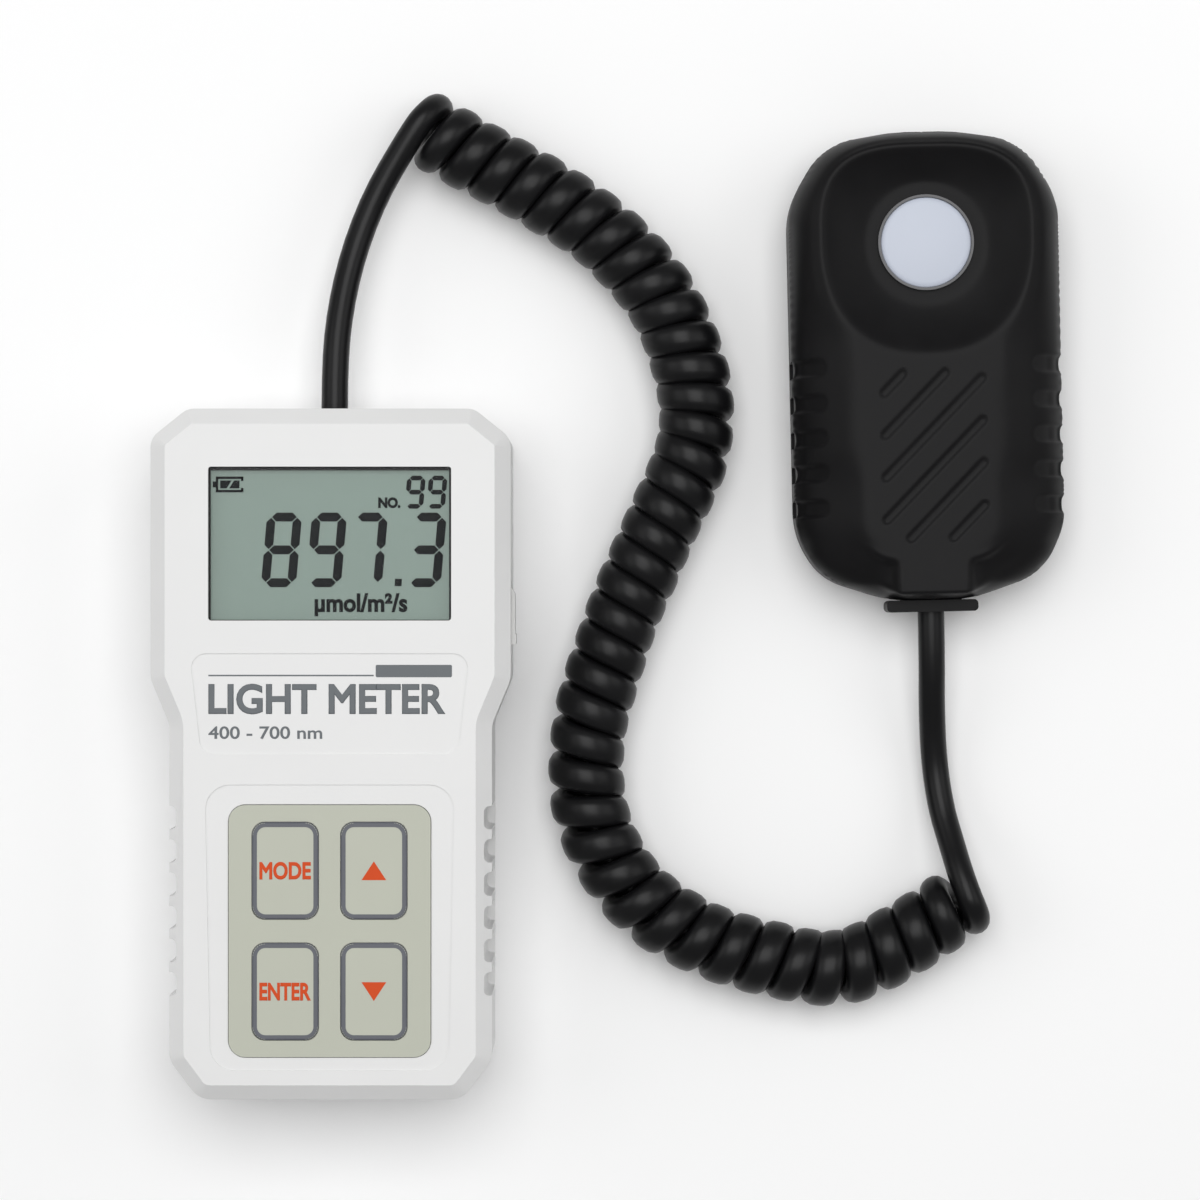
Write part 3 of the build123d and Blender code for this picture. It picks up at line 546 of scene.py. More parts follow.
# display, in millimetres: digits with pointed bars, the memory number, the unit and the battery mark
SEGMENTS = {"8": "abcdefg", "9": "abcdfg", "7": "abc", "3": "abcdg"}
STROKE = 1.8
STROKE_GAP = 0.14
LEAN = math.tan(math.radians(5))
DIGIT_WIDTH = 7.1
DIGIT_HEIGHT = 15.1
DIGIT_BASE = 33.8
DIGIT_PLACES = (("8", -14.1), ("9", -5.0), ("7", 3.3), ("3", 15.2))
DECIMAL_POINT = [(13.0, 34.0), (14.4, 34.0), (14.5, 35.5), (13.1, 35.5)]
SMALL_DIGIT_HEIGHT = 12.6
SMALL_DIGIT_SCALE = 0.53
SMALL_DIGIT_BASE = 49.7
SMALL_DIGIT_PLACES = (15.0, 19.4)
MEMORY_BOX = (9.7, 14.2, 49.8, 52.0)
UNIT_BOX = (-3.2, 15.6, 27.9, 32.6)
UNIT_WORDS = "\u00b5mol/m\u00b2/s"
BATTERY_BOX = (-23.2, -17.6, 53.0, 56.2)
BATTERY_LINE = 0.5


def segment_outline(letter, left, base, width, height):
    """One pointed bar of a seven-segment digit, leaning to the right."""
    half = STROKE / 2
    x_left, x_right = left + half, left + width - half
    y_base, y_middle, y_top = base + half, base + height / 2, base + height - half
    (x0, y0), (x1, y1) = {
        "a": ((x_left, y_top), (x_right, y_top)),
        "b": ((x_right, y_middle), (x_right, y_top)),
        "c": ((x_right, y_base), (x_right, y_middle)),
        "d": ((x_left, y_base), (x_right, y_base)),
        "e": ((x_left, y_base), (x_left, y_middle)),
        "f": ((x_left, y_middle), (x_left, y_top)),
        "g": ((x_left, y_middle), (x_right, y_middle)),
    }[letter]
    if y0 == y1:
        x0, x1 = x0 + STROKE_GAP, x1 - STROKE_GAP
        outline = [(x0, y0), (x0 + half, y0 - half), (x1 - half, y0 - half), (x1, y0)]
        outline += [(x1 - half, y0 + half), (x0 + half, y0 + half)]
    else:
        y0, y1 = y0 + STROKE_GAP, y1 - STROKE_GAP
        outline = [(x0, y0), (x0 + half, y0 + half), (x0 + half, y1 - half), (x0, y1)]
        outline += [(x0 - half, y1 - half), (x0 - half, y0 + half)]
    return [(x + (y - base) * LEAN, y) for x, y in outline]


def add_digits(layer):
    """The large reading with its decimal point."""
    shape = bmesh.new()
    for digit, left in DIGIT_PLACES:
        for letter in SEGMENTS[digit]:
            add_prism(shape, segment_outline(letter, left, DIGIT_BASE, DIGIT_WIDTH, DIGIT_HEIGHT), layer)
    add_prism(shape, DECIMAL_POINT, layer)
    new_piece("display_digits", shape, "lcd_ink", "meter")


def add_marks(layer):
    """The memory number and the unit."""
    shape = bmesh.new()
    add_text(shape, "NO.", MEMORY_BOX, layer, weight=0.055)
    add_text(shape, UNIT_WORDS, UNIT_BOX, layer, weight=0.035)
    for left in SMALL_DIGIT_PLACES:
        for letter in SEGMENTS["9"]:
            outline = segment_outline(letter, 0, 0, DIGIT_WIDTH, SMALL_DIGIT_HEIGHT)
            scaled = [(x * SMALL_DIGIT_SCALE, y * SMALL_DIGIT_SCALE) for x, y in outline]
            add_prism(shape, [(left + x, SMALL_DIGIT_BASE + y) for x, y in scaled], layer)
    new_piece("display_marks", shape, "lcd_ink", "meter")


def add_battery_mark(layer):
    """The battery's outline, open at the right, with its knob and two slanting charge bars."""
    left, right, base, top = BATTERY_BOX
    shape = bmesh.new()
    add_bar(shape, left, right, base, base + BATTERY_LINE, layer)
    add_bar(shape, left, right, top - BATTERY_LINE, top, layer)
    add_bar(shape, left, left + BATTERY_LINE, base, top, layer)
    add_bar(shape, left - 0.6, left, base + 1.0, top - 1.0, layer)
    add_bar(shape, right - BATTERY_LINE, right, base, base + 0.9, layer)
    add_bar(shape, right - BATTERY_LINE, right, top - 0.9, top, layer)
    low, high = base + 0.8, top - 0.8
    for ends in ((0.9, 2.2, 3.2, 0.9), (2.7, 4.8, 4.8, 3.7)):
        corners = zip((left + end for end in ends), (low, low, high, high))
        add_prism(shape, list(corners), layer)
    new_piece("display_battery", shape, "lcd_ink", "meter")


def add_display():
    """All that the display shows, just above the LCD glass."""
    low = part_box("lcd_glass")[1][2] / MM + INK_LIFT
    layer = (low, low + INK_THICKNESS)
    add_digits(layer)
    add_marks(layer)
    add_battery_mark(layer)


# the painted shadow line's edges as right, top, left and base distances from the window's centre, and its
# heights: a dark ring that paints the window edge's shade on the display, widest at the top and right
SHADOW_LINE_OUTER = (26.2, 17.2, 26.2, 17.2)
SHADOW_LINE_INNER = (24.05, 14.85, 24.2, 15.4)
SHADOW_LINE_HEIGHTS = (0.08, 0.45)


def add_painted_shadow_line():
    """A dark ring round the inside of the window: painted shadow of the window's edge on the display,
    widest at the top, then the right.
    """
    low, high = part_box("lcd_window")
    centre = (low[1] + high[1]) / 2 / MM
    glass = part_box("lcd_glass")[1][2] / MM
    bottom, top = glass + SHADOW_LINE_HEIGHTS[0], glass + SHADOW_LINE_HEIGHTS[1]
    loops = []
    for edges, height in (
        (SHADOW_LINE_OUTER, bottom),
        (SHADOW_LINE_OUTER, top),
        (SHADOW_LINE_INNER, top),
        (SHADOW_LINE_INNER, bottom),
    ):
        right, above, left, below = edges
        corners = ((right, above), (-left, above), (-left, -below), (right, -below))
        loops.append([(x, centre + y, height) for x, y in corners])
    shape = bmesh.new()
    add_loops(shape, loops)
    new_piece("display_painted_shadow", shape, "cord_black", "meter")


TITLE_BOX = (-24.5, 23.4, 8.1, 14.3)
RANGE_BOX = (-24.5, -1.5, 3.1, 5.7)
RULE_BOX = (-24.5, 8.9, 15.8, 16.1)
TAG_BOX = (9.3, 24.7, 15.6, 18.1)
TAG_CORNER = 0.2


def add_label():
    """The printed label between display and keypad, with general words only."""
    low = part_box("front_shell")[1][2] / MM - LABEL_RECESS + PRINT_LIFT
    layer = (low, low + LABEL_THICKNESS)
    shape = bmesh.new()
    add_text(shape, "LIGHT METER", TITLE_BOX, layer, weight=0.03)
    add_text(shape, "400 - 700 nm", RANGE_BOX, layer, weight=0.015)
    new_piece("label_words", shape, "label_grey", "meter")
    shape = bmesh.new()
    add_bar(shape, *RULE_BOX, layer)
    left, right, base, top = TAG_BOX
    tag = [(left + TAG_CORNER, base), (right - TAG_CORNER, base), (right, base + TAG_CORNER)]
    tag += [(right, top - TAG_CORNER), (right - TAG_CORNER, top), (left + TAG_CORNER, top)]
    tag += [(left, top - TAG_CORNER), (left, base + TAG_CORNER)]
    add_prism(shape, tag, layer)
    new_piece("label_rule", shape, "label_grey", "meter")


KEY_PRINTS = {"key_mode": "MODE", "key_enter": "ENTER", "key_up": 1, "key_down": -1}
KEY_CORNER = 2.7
KEY_INNER_CORNER = 1.2
# the printed border's section: how far each of its loops lies inside the key and above its top
KEY_BORDER = ((0.0, -0.32), (-0.03, -0.22), (0.06, -0.08), (0.3, 0.03), (1.0, 0.03), (1.0, -0.1))
WORD_HALF_WIDTH = 5.2
WORD_HALF_HEIGHT = 1.8
TRIANGLE_HALF_WIDTH = 2.5
TRIANGLE_HALF_HEIGHT = 1.9


def rounded_rectangle(half_x, half_y, corner, steps=8):
    """Points round a rectangle with rounded corners, centred on zero."""
    points = []
    for quarter, (sign_x, sign_y) in enumerate(((1, 1), (-1, 1), (-1, -1), (1, -1))):
        for step in range(steps + 1):
            angle = math.radians(90 * quarter + 90 * step / steps)
            x = sign_x * (half_x - corner) + corner * math.cos(angle)
            y = sign_y * (half_y - corner) + corner * math.sin(angle)
            points.append((x, y))
    return points


def add_key_outline(node, centre, half, top):
    """The printed outline that follows the key's rounded border."""
    loops = []
    for inset, height in KEY_BORDER:
        corner = max(KEY_CORNER - inset, KEY_INNER_CORNER)
        outline = rounded_rectangle(half[0] - inset, half[1] - inset, corner)
        loops.append([(centre[0] + x, centre[1] + y, top + height) for x, y in outline])
    shape = bmesh.new()
    add_loops(shape, loops)
    new_piece(node + "_outline", shape, "outline_grey", body_of[node])


def add_key_mark(node, mark, centre, top):
    """The key's word, or a triangle that points up for 1 and down for -1."""
    x, y = centre
    layer = (top + PRINT_LIFT, top + PRINT_LIFT + PRINT_THICKNESS)
    shape = bmesh.new()
    if isinstance(mark, str):
        box = (x - WORD_HALF_WIDTH, x + WORD_HALF_WIDTH, y - WORD_HALF_HEIGHT, y + WORD_HALF_HEIGHT)
        add_text(shape, mark, box, layer, weight=0.035)
    else:
        tip = TRIANGLE_HALF_HEIGHT * mark
        base = [(x - TRIANGLE_HALF_WIDTH, y - tip), (x + TRIANGLE_HALF_WIDTH, y - tip)]
        add_prism(shape, base + [(x, y + tip)], layer)
    new_piece(node + "_mark", shape, "key_orange", body_of[node])


def add_key_prints():
    """The outline and the mark of every key."""
    for node, mark in KEY_PRINTS.items():
        low, high = (np.array(corner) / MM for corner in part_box(node))
        centre = (low + high) / 2
        add_key_outline(node, centre, (high - low) / 2, high[2])
        add_key_mark(node, mark, centre[:2], high[2])


add_display()
# painted shadow line round the inside of the display window
add_painted_shadow_line()
add_label()
add_key_prints()

# ------------------------------------------------------------------ sensor head
HEAD_ORIGIN = (0.1231, 0.0288)
HEAD_TURN = math.radians(1.3)
HEAD_HALF_WIDTH = 27.8
HEAD_FAR_END = 98.9
HEAD_CORD_END = 2.4
HEAD_MIDDLE = (HEAD_FAR_END + HEAD_CORD_END) / 2
HEAD_HALF_LENGTH = (HEAD_FAR_END - HEAD_CORD_END) / 2
HEAD_OUTLINE = [
    (0, HEAD_FAR_END),
    (7, HEAD_FAR_END),
    (20.5, 96.6),
    (HEAD_HALF_WIDTH, 84.5),
    (HEAD_HALF_WIDTH, 16.5),
    (22.5, 7.3),
    (8, HEAD_CORD_END),
    (0, HEAD_CORD_END),
]
HEAD_FILLETS = [40, 14, 18, 18, 13, 28]
OUTLINE_STEP = 0.25
HEAD_TOP = 24.0
HEAD_PARTING = 11.0
EDGE_HEIGHT = 13.0
LEAST_HEIGHT = HEAD_PARTING + 0.5
WALL = 2.0
DIFFUSER = (0.0, 75.7)

# the rim round the diffuser's dish: a rounded square, blunter below its centre than above
RIM_CENTRE = 76.5
RIM_HALF_WIDTH = 22.4
RIM_ABOVE = (3.0, 19.4)
RIM_BELOW = (2.3, 24.8)
RIM_GROOVE_DEPTH = 0.45
RIM_GROOVE_PLACE = 0.45
RIM_GROOVE_SPREAD = 0.3
RIM_GROOVE_FROM = (58, 68)
SHOULDER_PASSES = 110
SHOULDER_STRAIGHT = 0.25
CRISP_PASSES = 5
ROUNDED_PASSES = 40
ROUNDED_STRETCH = (11, 15, 42, 54)
DISH_FLOOR = 19.5
DISH_FLAT_RADIUS = 12.6
LEAST_LIP_RADIUS = 13.0

# the raised grip with its end tab, its slanting grooves, and the finger notches in the sides
GRIP_HALF_WIDTH = 15.5
GRIP_END = 10.6
GRIP_CORNER = 8.5
GRIP_STEP = 1.1
GRIP_STEP_RISE = (0.1, 0.9)
GRIP_STEP_BELOW = (26, 34)
GRIP_STEP_SHARE = (0.5, 1.0)
TAB_HALF_WIDTH = 7.45
TAB_END = 3.6
TAB_START = 20
TAB_EDGE_START = 14
GROOVE_COUNT = 6
GROOVE_FIRST = 54.3
GROOVE_PITCH = 8.65
GROOVE_DEPTH = 0.30
GROOVE_WIDTH = (0.6, 1.0)
GROOVE_END = 0.85
GROOVE_REGION = (-10.3, 11.4, 14.2, 49.5)
GROOVES_BELOW = 52
FINGER_ROWS = [21.6 + 7.2 * k for k in range(5)]
FINGER_HALF_HEIGHT = 2.05
FINGER_DEPTH = 1.1
FINGER_START = 20.5
FINGER_RAMP = 4.0
FINGER_ROUND_FROM = 22.7
FINGER_ROUND_LENGTH = 2.2
FINGER_FLAT_SHARE = 0.55
FINGER_INSET = 0.65
FINGER_INSET_HALF_HEIGHT = 1.75


def head_place(x, y, z):
    """A point of the head's own frame, in millimetres, put into the scene in metres."""
    cosine, sine = math.cos(HEAD_TURN), math.sin(HEAD_TURN)
    wide, long = x * MM, y * MM
    place_x = HEAD_ORIGIN[0] + wide * cosine - long * sine
    place_y = HEAD_ORIGIN[1] + wide * sine + long * cosine
    return np.stack(np.broadcast_arrays(place_x, place_y, z * MM), axis=-1)


def filleted(points, radii, steps=14):
    """The points of an outline whose inner corners are rounded with arcs."""
    line = [np.array(points[0], float)]
    for before, corner, after, radius in zip(points, points[1:], points[2:], radii):
        corner = np.array(corner, float)
        back = (np.array(before) - corner) / np.linalg.norm(np.array(before) - corner)
        on = (np.array(after) - corner) / np.linalg.norm(np.array(after) - corner)
        half = math.acos(float(np.clip(back @ on, -1, 1))) / 2
        centre = corner + (back + on) / np.linalg.norm(back + on) * radius / math.sin(half)
        start = corner + back * radius / math.tan(half) - centre
        end = corner + on * radius / math.tan(half) - centre
        first = math.atan2(start[1], start[0])
        sweep = math.remainder(math.atan2(end[1], end[0]) - first, math.tau)
        for step in range(steps + 1):
            angle = first + sweep * step / steps
            line.append(centre + radius * np.array((math.cos(angle), math.sin(angle))))
    line.append(np.array(points[-1], float))
    return np.array(line)


def whole_outline(half):
    """Closely spaced points round the head, from the outline of its right half."""
    outline = []
    for start, end in zip(half, half[1:]):
        count = max(2, int(np.linalg.norm(end - start) / OUTLINE_STEP))
        outline.append(start + (end - start) * np.linspace(0, 1, count, endpoint=False)[:, None])
    outline = np.concatenate(outline)
    return np.concatenate((outline, outline * (-1, 1)))


def nearest(points, line, batch=2000):
    """Distance from each point to the nearest point of a line."""
    result = np.empty(len(points))
    for start in range(0, len(points), batch):
        part = points[start : start + batch]
        result[start : start + batch] = np.linalg.norm(part[:, None] - line[None], axis=2).min(axis=1)
    return result


def smooth(value, low, high):
    """0 below low, 1 above high, with a smooth step between."""
    part = np.clip((value - low) / (high - low), 0, 1)
    return part * part * (3 - 2 * part)


def rim_level(x, y):
    """1 on the rim round the diffuser's dish, less inside it, more outside."""
    above = y > RIM_CENTRE
    power = np.where(above, RIM_ABOVE[0], RIM_BELOW[0])
    reach = np.where(above, RIM_ABOVE[1], RIM_BELOW[1])
    across = (np.abs(x) / RIM_HALF_WIDTH) ** power
    along = (np.abs(y - RIM_CENTRE) / reach) ** power
    return (across + along) ** (1 / power)


def grip_margin(x, y):
    """How far a point lies outside the raised grip and its end tab; negative inside."""
    across = np.abs(x) - GRIP_HALF_WIDTH + GRIP_CORNER
    below = GRIP_END + GRIP_CORNER - y
    round_end = np.hypot(np.maximum(across, 0), np.maximum(below, 0)) - GRIP_CORNER
    beside = np.where(below > 0, round_end, across - GRIP_CORNER)
    grip = np.where(y > RIM_CENTRE, 99.0, beside)
    tab = np.maximum(np.abs(x) - TAB_HALF_WIDTH, np.maximum(TAB_END - y, y - TAB_START))
    return np.minimum(grip, tab)


def top_line():
    """Points all round the edges of the rim, the grip and the end tab."""
    angles = np.linspace(0, math.tau, 720, endpoint=False)
    ray = np.stack((np.cos(angles), np.sin(angles)), axis=1)
    reach = 1 / rim_level(ray[:, 0], RIM_CENTRE + ray[:, 1])
    lines = [ray * reach[:, None] + (0, RIM_CENTRE)]
    corner_x, corner_y = GRIP_HALF_WIDTH - GRIP_CORNER, GRIP_END + GRIP_CORNER
    arc = np.linspace(-math.pi, 0, 240)
    arc_x = np.cos(arc) * GRIP_CORNER + np.sign(np.cos(arc)) * corner_x
    lines.append(np.stack((arc_x, corner_y + np.sin(arc) * GRIP_CORNER), axis=1))
    end = np.linspace(-TAB_HALF_WIDTH, TAB_HALF_WIDTH, 60)
    lines.append(np.stack((end, np.full(60, TAB_END)), axis=1))
    grip_side = np.linspace(corner_y, RIM_CENTRE, 200)
    tab_side = np.linspace(TAB_END, TAB_EDGE_START, 50)
    for sign in (-1, 1):
        lines.append(np.stack((np.full(200, sign * GRIP_HALF_WIDTH), grip_side), axis=1))
        lines.append(np.stack((np.full(50, sign * TAB_HALF_WIDTH), tab_side), axis=1))
    return np.concatenate(lines)


def finger_scoop(x, y):
    """Depth of the finger notches, which run in from both sides and end round."""
    depth = np.zeros_like(x)
    inward = np.maximum(0, FINGER_ROUND_FROM - np.abs(x)) / FINGER_ROUND_LENGTH
    ramp = np.clip((np.abs(x) - FINGER_START) / FINGER_RAMP, 0, 1)
    for row in FINGER_ROWS:
        share = np.hypot((y - row) / FINGER_HALF_HEIGHT, inward)
        depth = np.maximum(depth, FINGER_DEPTH * ramp * (1 - smooth(share, FINGER_FLAT_SHARE, 1.0)))
    return depth


def finger_inset(y):
    """How far the finger notches cut into the side of the outline."""
    inset = 0.0
    for row in FINGER_ROWS:
        share = (y - row) / FINGER_INSET_HALF_HEIGHT
        inset = inset + FINGER_INSET * np.sqrt(np.clip(1 - share**2, 0, 1))
    return inset


def groove_depth(x, y):
    """Depth of the slanting grip grooves, with rounded ends; a groove lies where y - x is its offset."""
    depth = np.zeros_like(x)
    left, right, low, high = GROOVE_REGION
    for k in range(GROOVE_COUNT):
        offset = GROOVE_FIRST - GROOVE_PITCH * k
        start = max(left, low - offset) + GROOVE_END
        end = min(right, high - offset) - GROOVE_END
        along = np.clip((x + y - offset) / 2, start, end)
        distance = np.hypot(x - along, y - offset - along)
        depth = np.maximum(depth, GROOVE_DEPTH * (1 - smooth(distance, *GROOVE_WIDTH)))
    return depth


def relaxed(values, fixed, passes):
    """Smooths a field on the grid, leaving its border and the fixed points as they are."""
    for _ in range(passes):
        mean = (values[:-2, 1:-1] + values[2:, 1:-1] + values[1:-1, :-2] + values[1:-1, 2:]) / 4
        values[1:-1, 1:-1] = np.where(fixed[1:-1, 1:-1], values[1:-1, 1:-1], mean)
    return values


def shoulder_height(x, y, outline, grid, on_top):
    """Height of the top and of the shoulders that fall from its edges to the outline."""
    points = np.stack((x, y), axis=1)
    from_top = np.where(on_top, 0.0, nearest(points, top_line()))
    share = from_top / np.maximum(from_top + nearest(points, outline), 1e-6)
    share = relaxed(share.reshape(grid), on_top.reshape(grid), SHOULDER_PASSES).ravel()
    curved = 1 - np.sqrt(np.clip(1 - share**2, 0, 1))
    fall = SHOULDER_STRAIGHT * share + (1 - SHOULDER_STRAIGHT) * curved
    height = HEAD_TOP - (HEAD_TOP - EDGE_HEIGHT) * fall
    # a step down round the lower end of the grip and round its tab
    step = smooth(from_top, *GRIP_STEP_RISE) * (1 - smooth(y, *GRIP_STEP_BELOW))
    height -= GRIP_STEP * step * (1 - smooth(share, *GRIP_STEP_SHARE))
    # a shallow groove round the upper part of the rim
    groove = np.exp(-(((from_top - RIM_GROOVE_PLACE) / RIM_GROOVE_SPREAD) ** 2))
    return height - RIM_GROOVE_DEPTH * groove * smooth(y, *RIM_GROOVE_FROM)


def sink_dish(x, y, level, height):
    """Lowers the inside of the rim to the dish round the diffuser."""
    distance = np.hypot(x - DIFFUSER[0], y - DIFFUSER[1])
    lip = np.maximum(distance / np.maximum(level, 1e-3) - 1.2, LEAST_LIP_RADIUS)
    wall = np.clip((distance - DISH_FLAT_RADIUS) / (lip - DISH_FLAT_RADIUS), 0, 1)
    dish = DISH_FLOOR + (HEAD_TOP - DISH_FLOOR) * (0.6 * wall + 0.4 * wall**2)
    return np.where((level < 1) & (distance < lip), np.minimum(height, dish), height)


def soften(y, height, grid):
    """Rounds the surface a little everywhere, and more along the grip."""
    free = np.zeros(grid, bool)
    crisp = relaxed(height.reshape(grid).copy(), free, CRISP_PASSES).ravel()
    rounded = relaxed(height.reshape(grid).copy(), free, ROUNDED_PASSES).ravel()
    low_start, low_end, high_start, high_end = ROUNDED_STRETCH
    keep = np.maximum(smooth(y, high_start, high_end), 1 - smooth(y, low_start, low_end))
    return rounded * (1 - keep) + crisp * keep


def cover_height(x, y, outline, grid):
    """Height of the cover's outer surface over points of the head's own frame."""
    level = rim_level(x, y)
    on_top = (level < 1) | (grip_margin(x, y) < 0)
    height = shoulder_height(x, y, outline, grid, on_top)
    height = soften(y, sink_dish(x, y, level, height), grid)
    height -= np.where(on_top & (y < GROOVES_BELOW), groove_depth(x, y), 0.0)
    height -= finger_scoop(x, y)
    return np.maximum(height, LEAST_HEIGHT)


def border(across, along):
    """The indices of the grid's outer points, in order round it."""
    return np.concatenate(
        (
            np.arange(across),
            np.arange(1, along) * across + across - 1,
            (along - 1) * across + np.arange(across - 2, -1, -1),
            np.arange(along - 2, 0, -1) * across,
        )
    )


def shell_faces(across, along, edge):
    """The faces of a shell: outer grid, inner grid, outer wall and the rim below."""
    count = across * along
    cell = (np.arange(along - 1)[:, None] * across + np.arange(across - 1)[None]).ravel()
    outside = np.stack((cell, cell + 1, cell + across + 1, cell + across), axis=1)
    inside = outside[:, ::-1] + count
    after = np.roll(edge, -1)
    spot = 2 * count + np.arange(len(edge))
    spot_after = np.roll(spot, -1)
    wall = np.stack((edge, spot, spot_after, after), axis=1)
    rim = np.stack((spot, edge + count, after + count, spot_after), axis=1)
    return np.concatenate((outside, inside, wall, rim))


def cover_grid(half, across, along):
    """The places of the cover's grid, closer together at its ends, and how wide each row is."""
    turn = np.linspace(0, math.pi, along)
    even = np.linspace(-1, 1, along)
    rows = HEAD_MIDDLE - HEAD_HALF_LENGTH * np.clip(0.55 * np.cos(turn) - 0.45 * even, -1, 1)
    right = half[half[:, 0] > 1e-6]
    widths = np.interp(rows, right[::-1, 1], right[::-1, 0])
    x = (widths[:, None] * np.linspace(-1, 1, across)[None]).ravel()
    y = np.repeat(rows, across)
    near_side = smooth(np.abs(x), HEAD_HALF_WIDTH - 2.5, HEAD_HALF_WIDTH)
    return x - np.sign(x) * finger_inset(y) * near_side, y, np.repeat(widths, across)


def cover_mesh(across, along):
    """One closed shell: the outer surface, the same drawn in by the wall, and the flat parting edge."""
    half = filleted(HEAD_OUTLINE, HEAD_FILLETS)
    x, y, widths = cover_grid(half, across, along)
    height = cover_height(x, y, whole_outline(half), (along, across))
    edge = border(across, along)
    inner_x = x * (widths - WALL) / widths
    inner_y = HEAD_MIDDLE + (y - HEAD_MIDDLE) * (HEAD_HALF_LENGTH - WALL) / HEAD_HALF_LENGTH
    inner_z = np.maximum(height - WALL, HEAD_PARTING)
    inner_z[edge] = HEAD_PARTING
    outer = head_place(x, y, height)
    inner = head_place(inner_x, inner_y, inner_z)
    lower = head_place(x[edge], y[edge], np.full(len(edge), HEAD_PARTING))
    vertices = np.concatenate((outer, inner, lower))
    mesh = bpy.data.meshes.new("head_cover_moulding")
    mesh.from_pydata(vertices.tolist(), [], shell_faces(across, along, edge).tolist())
    mesh.update()
    return mesh


HOLE_RADIUS = 9.85
HOLE_SIDES = 96
HOLE_HEIGHTS = (9.0, 26.0)
CORD_OPENING = [(-6.2, -3.0), (6.2, -3.0), (6.2, 6.0), (-6.2, 6.0)]
CORD_OPENING_HEIGHTS = (9.0, 15.2)


def cutting_tool(outline, heights):
    """A prism in the head's own frame, to cut with."""
    shape = bmesh.new()
    add_prism(shape, outline, heights)
    for vertex in shape.verts:
        vertex.co = head_place(vertex.co.x / MM, vertex.co.y / MM, vertex.co.z / MM)
    bmesh.ops.recalc_face_normals(shape, faces=shape.faces)
    mesh = bpy.data.meshes.new("tool")
    shape.to_mesh(mesh)
    shape.free()
    tool = bpy.data.objects.new("tool", mesh)
    bpy.context.collection.objects.link(tool)
    return tool


def cut_openings(piece):
    """Cuts the hole for the diffuser and the opening for the cord."""
    angles = [math.tau * k / HOLE_SIDES for k in range(HOLE_SIDES)]
    hole = [
        (DIFFUSER[0] + HOLE_RADIUS * math.cos(angle), DIFFUSER[1] + HOLE_RADIUS * math.sin(angle))
        for angle in angles
    ]
    for outline, heights in ((hole, HOLE_HEIGHTS), (CORD_OPENING, CORD_OPENING_HEIGHTS)):
        tool = cutting_tool(outline, heights)
        cut = piece.modifiers.new("cut", "BOOLEAN")
        cut.operation = "DIFFERENCE"
        cut.solver = "EXACT"
        cut.object = tool
        mesh = evaluated_mesh(piece)
        piece.modifiers.clear()
        piece.data = mesh
        bpy.data.objects.remove(tool)


def shade_smooth(piece, sharp_angle):
    """Smooth shading that keeps the edges sharper than an angle in degrees."""
    for polygon in piece.data.polygons:
        polygon.use_smooth = True
    piece.data.set_sharp_from_angle(angle=math.radians(sharp_angle))


def add_head_cover(across=151, along=277):
    """The head's cover, whose top follows the dish, the shoulders, the grip and its notches."""
    piece = bpy.data.objects.new("head_cover_moulding", cover_mesh(across, along))
    bpy.context.collection.objects.link(piece)
    cut_openings(piece)
    shade_smooth(piece, 55)
    dress(piece, "head_black")
    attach(piece, "sensor_head")
    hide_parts("head_cover")


# the diffuser's profile as radius and height: a low dome, a rounded edge and the flange that holds it
DOME_RADIUS = 9.0
DOME_EDGE = 20.35
DOME_RISE = 0.6
DOME_STEPS = 10
FLANGE = [(9.2, 20.2), (9.28, 20.0), (9.3, 17.3), (11, 17.25), (11, 15.95), (10.9, 15.9)]


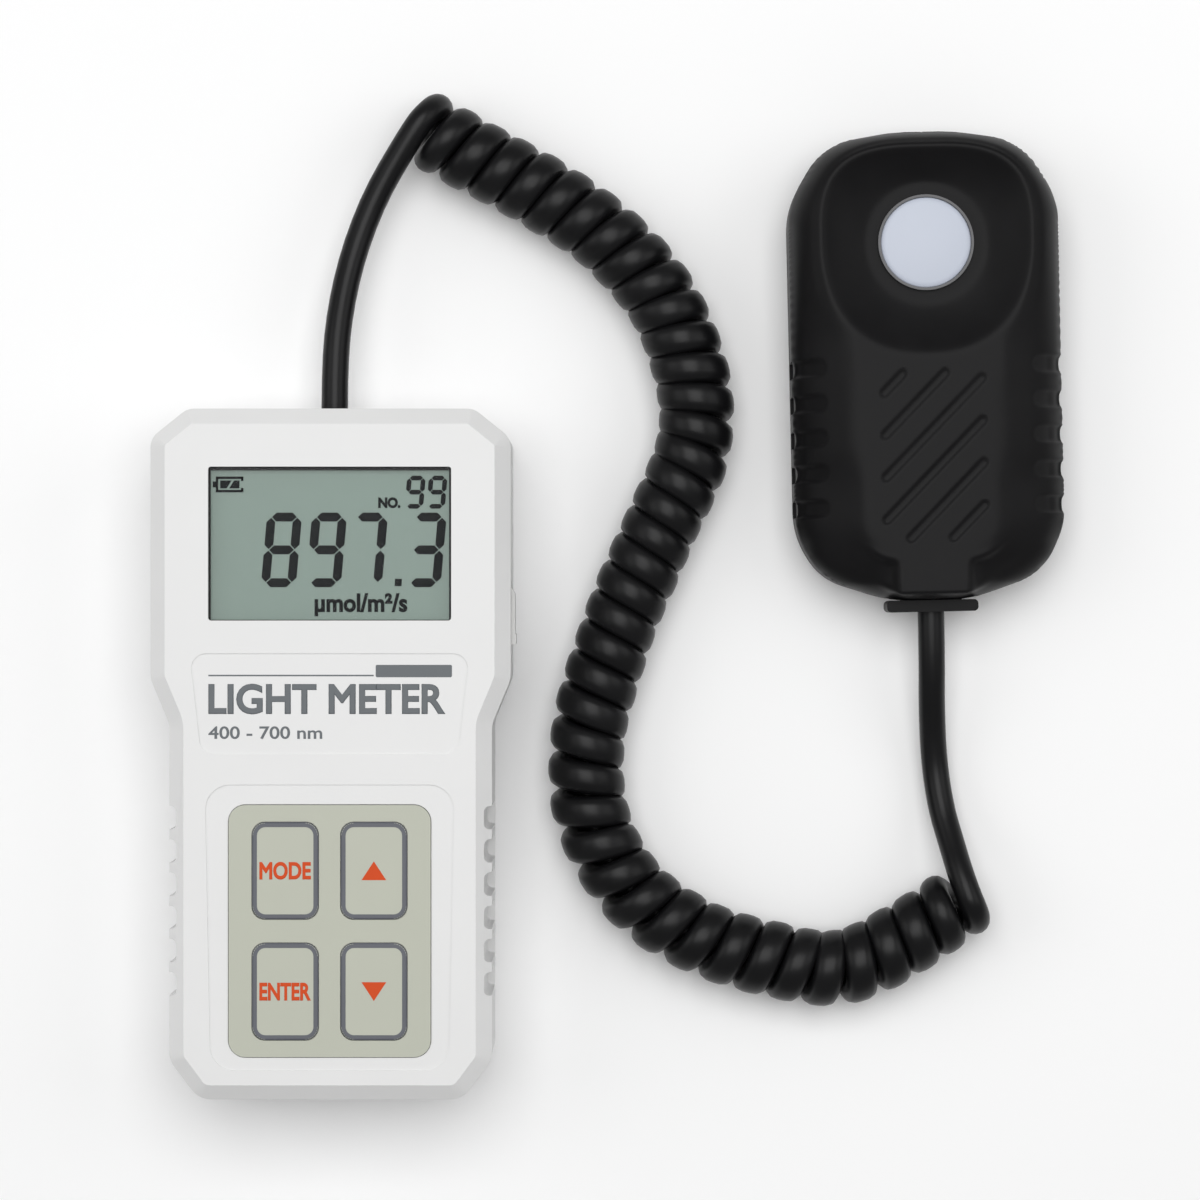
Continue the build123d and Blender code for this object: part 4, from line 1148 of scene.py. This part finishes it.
def add_diffuser(sides=96):
    """The opal disc: slightly domed, with a rounded edge and the flange that holds it."""
    shares = [k / DOME_STEPS for k in range(1, DOME_STEPS + 1)]
    dome = [(DOME_RADIUS * share, DOME_EDGE + DOME_RISE * (1 - share**2)) for share in shares]
    shape = bmesh.new()
    rows = []
    for radius, height in dome + FLANGE:
        ring = []
        for k in range(sides):
            angle = math.tau * k / sides
            x = DIFFUSER[0] + radius * math.cos(angle)
            y = DIFFUSER[1] + radius * math.sin(angle)
            ring.append(shape.verts.new(head_place(x, y, height)))
        rows.append(ring)
    crown = shape.verts.new(head_place(*DIFFUSER, DOME_EDGE + DOME_RISE))
    for k in range(sides):
        after = (k + 1) % sides
        shape.faces.new((crown, rows[0][k], rows[0][after]))
        for row, below in zip(rows, rows[1:]):
            shape.faces.new((row[k], below[k], below[after], row[after]))
    shape.faces.new(rows[-1])
    piece = new_piece("diffuser_disc", shape, "diffuser_white", "sensor_head")
    shade_smooth(piece, 40)
    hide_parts("diffuser")


add_head_cover()
add_diffuser()


# ------------------------------------------------------------------ stage and light
FLOOR_SIZE = 6
FLOOR_HEIGHT = -0.0002
FLOOR_COLOR = (0.93, 0.93, 0.93)
FLOOR_ROUGHNESS = 0.9
WORLD_STRENGTH = 0.32
# name: place, size and power
LIGHTS = {
    "left": ((-0.85, 0.20, 0.75), 0.7, 2.0),
    "right": ((0.95, 0.25, 0.75), 0.7, 2.0),
    "above": ((0.05, 0.32, 1.30), 1.0, 12.0),
}


def add_floor():
    """A pale floor just under the meter's back."""
    bpy.ops.mesh.primitive_plane_add(size=FLOOR_SIZE, location=(*VIEW_CENTRE, FLOOR_HEIGHT))
    floor = bpy.context.object
    floor.name = "floor"
    floor.data.materials.append(new_material("floor", FLOOR_COLOR, FLOOR_ROUGHNESS)[0])


def add_lights():
    """An even white surround, and wide soft lights that face the middle of the view."""
    world = bpy.data.worlds.new("world")
    bpy.context.scene.world = world
    world.use_nodes = True
    background = world.node_tree.nodes["Background"]
    background.inputs["Color"].default_value = (1, 1, 1, 1)
    background.inputs["Strength"].default_value = WORLD_STRENGTH
    for name, (place, size, power) in LIGHTS.items():
        light = bpy.data.lights.new(name, "AREA")
        light.shape = "SQUARE"
        light.size = size
        light.energy = power
        lamp = bpy.data.objects.new(name, light)
        lamp.location = place
        aim = Vector((*VIEW_CENTRE, 0)) - Vector(place)
        lamp.rotation_euler = aim.to_track_quat("-Z", "Y").to_euler()
        bpy.context.collection.objects.link(lamp)


add_floor()
add_lights()
bpy.context.scene.view_settings.view_transform = "Standard"
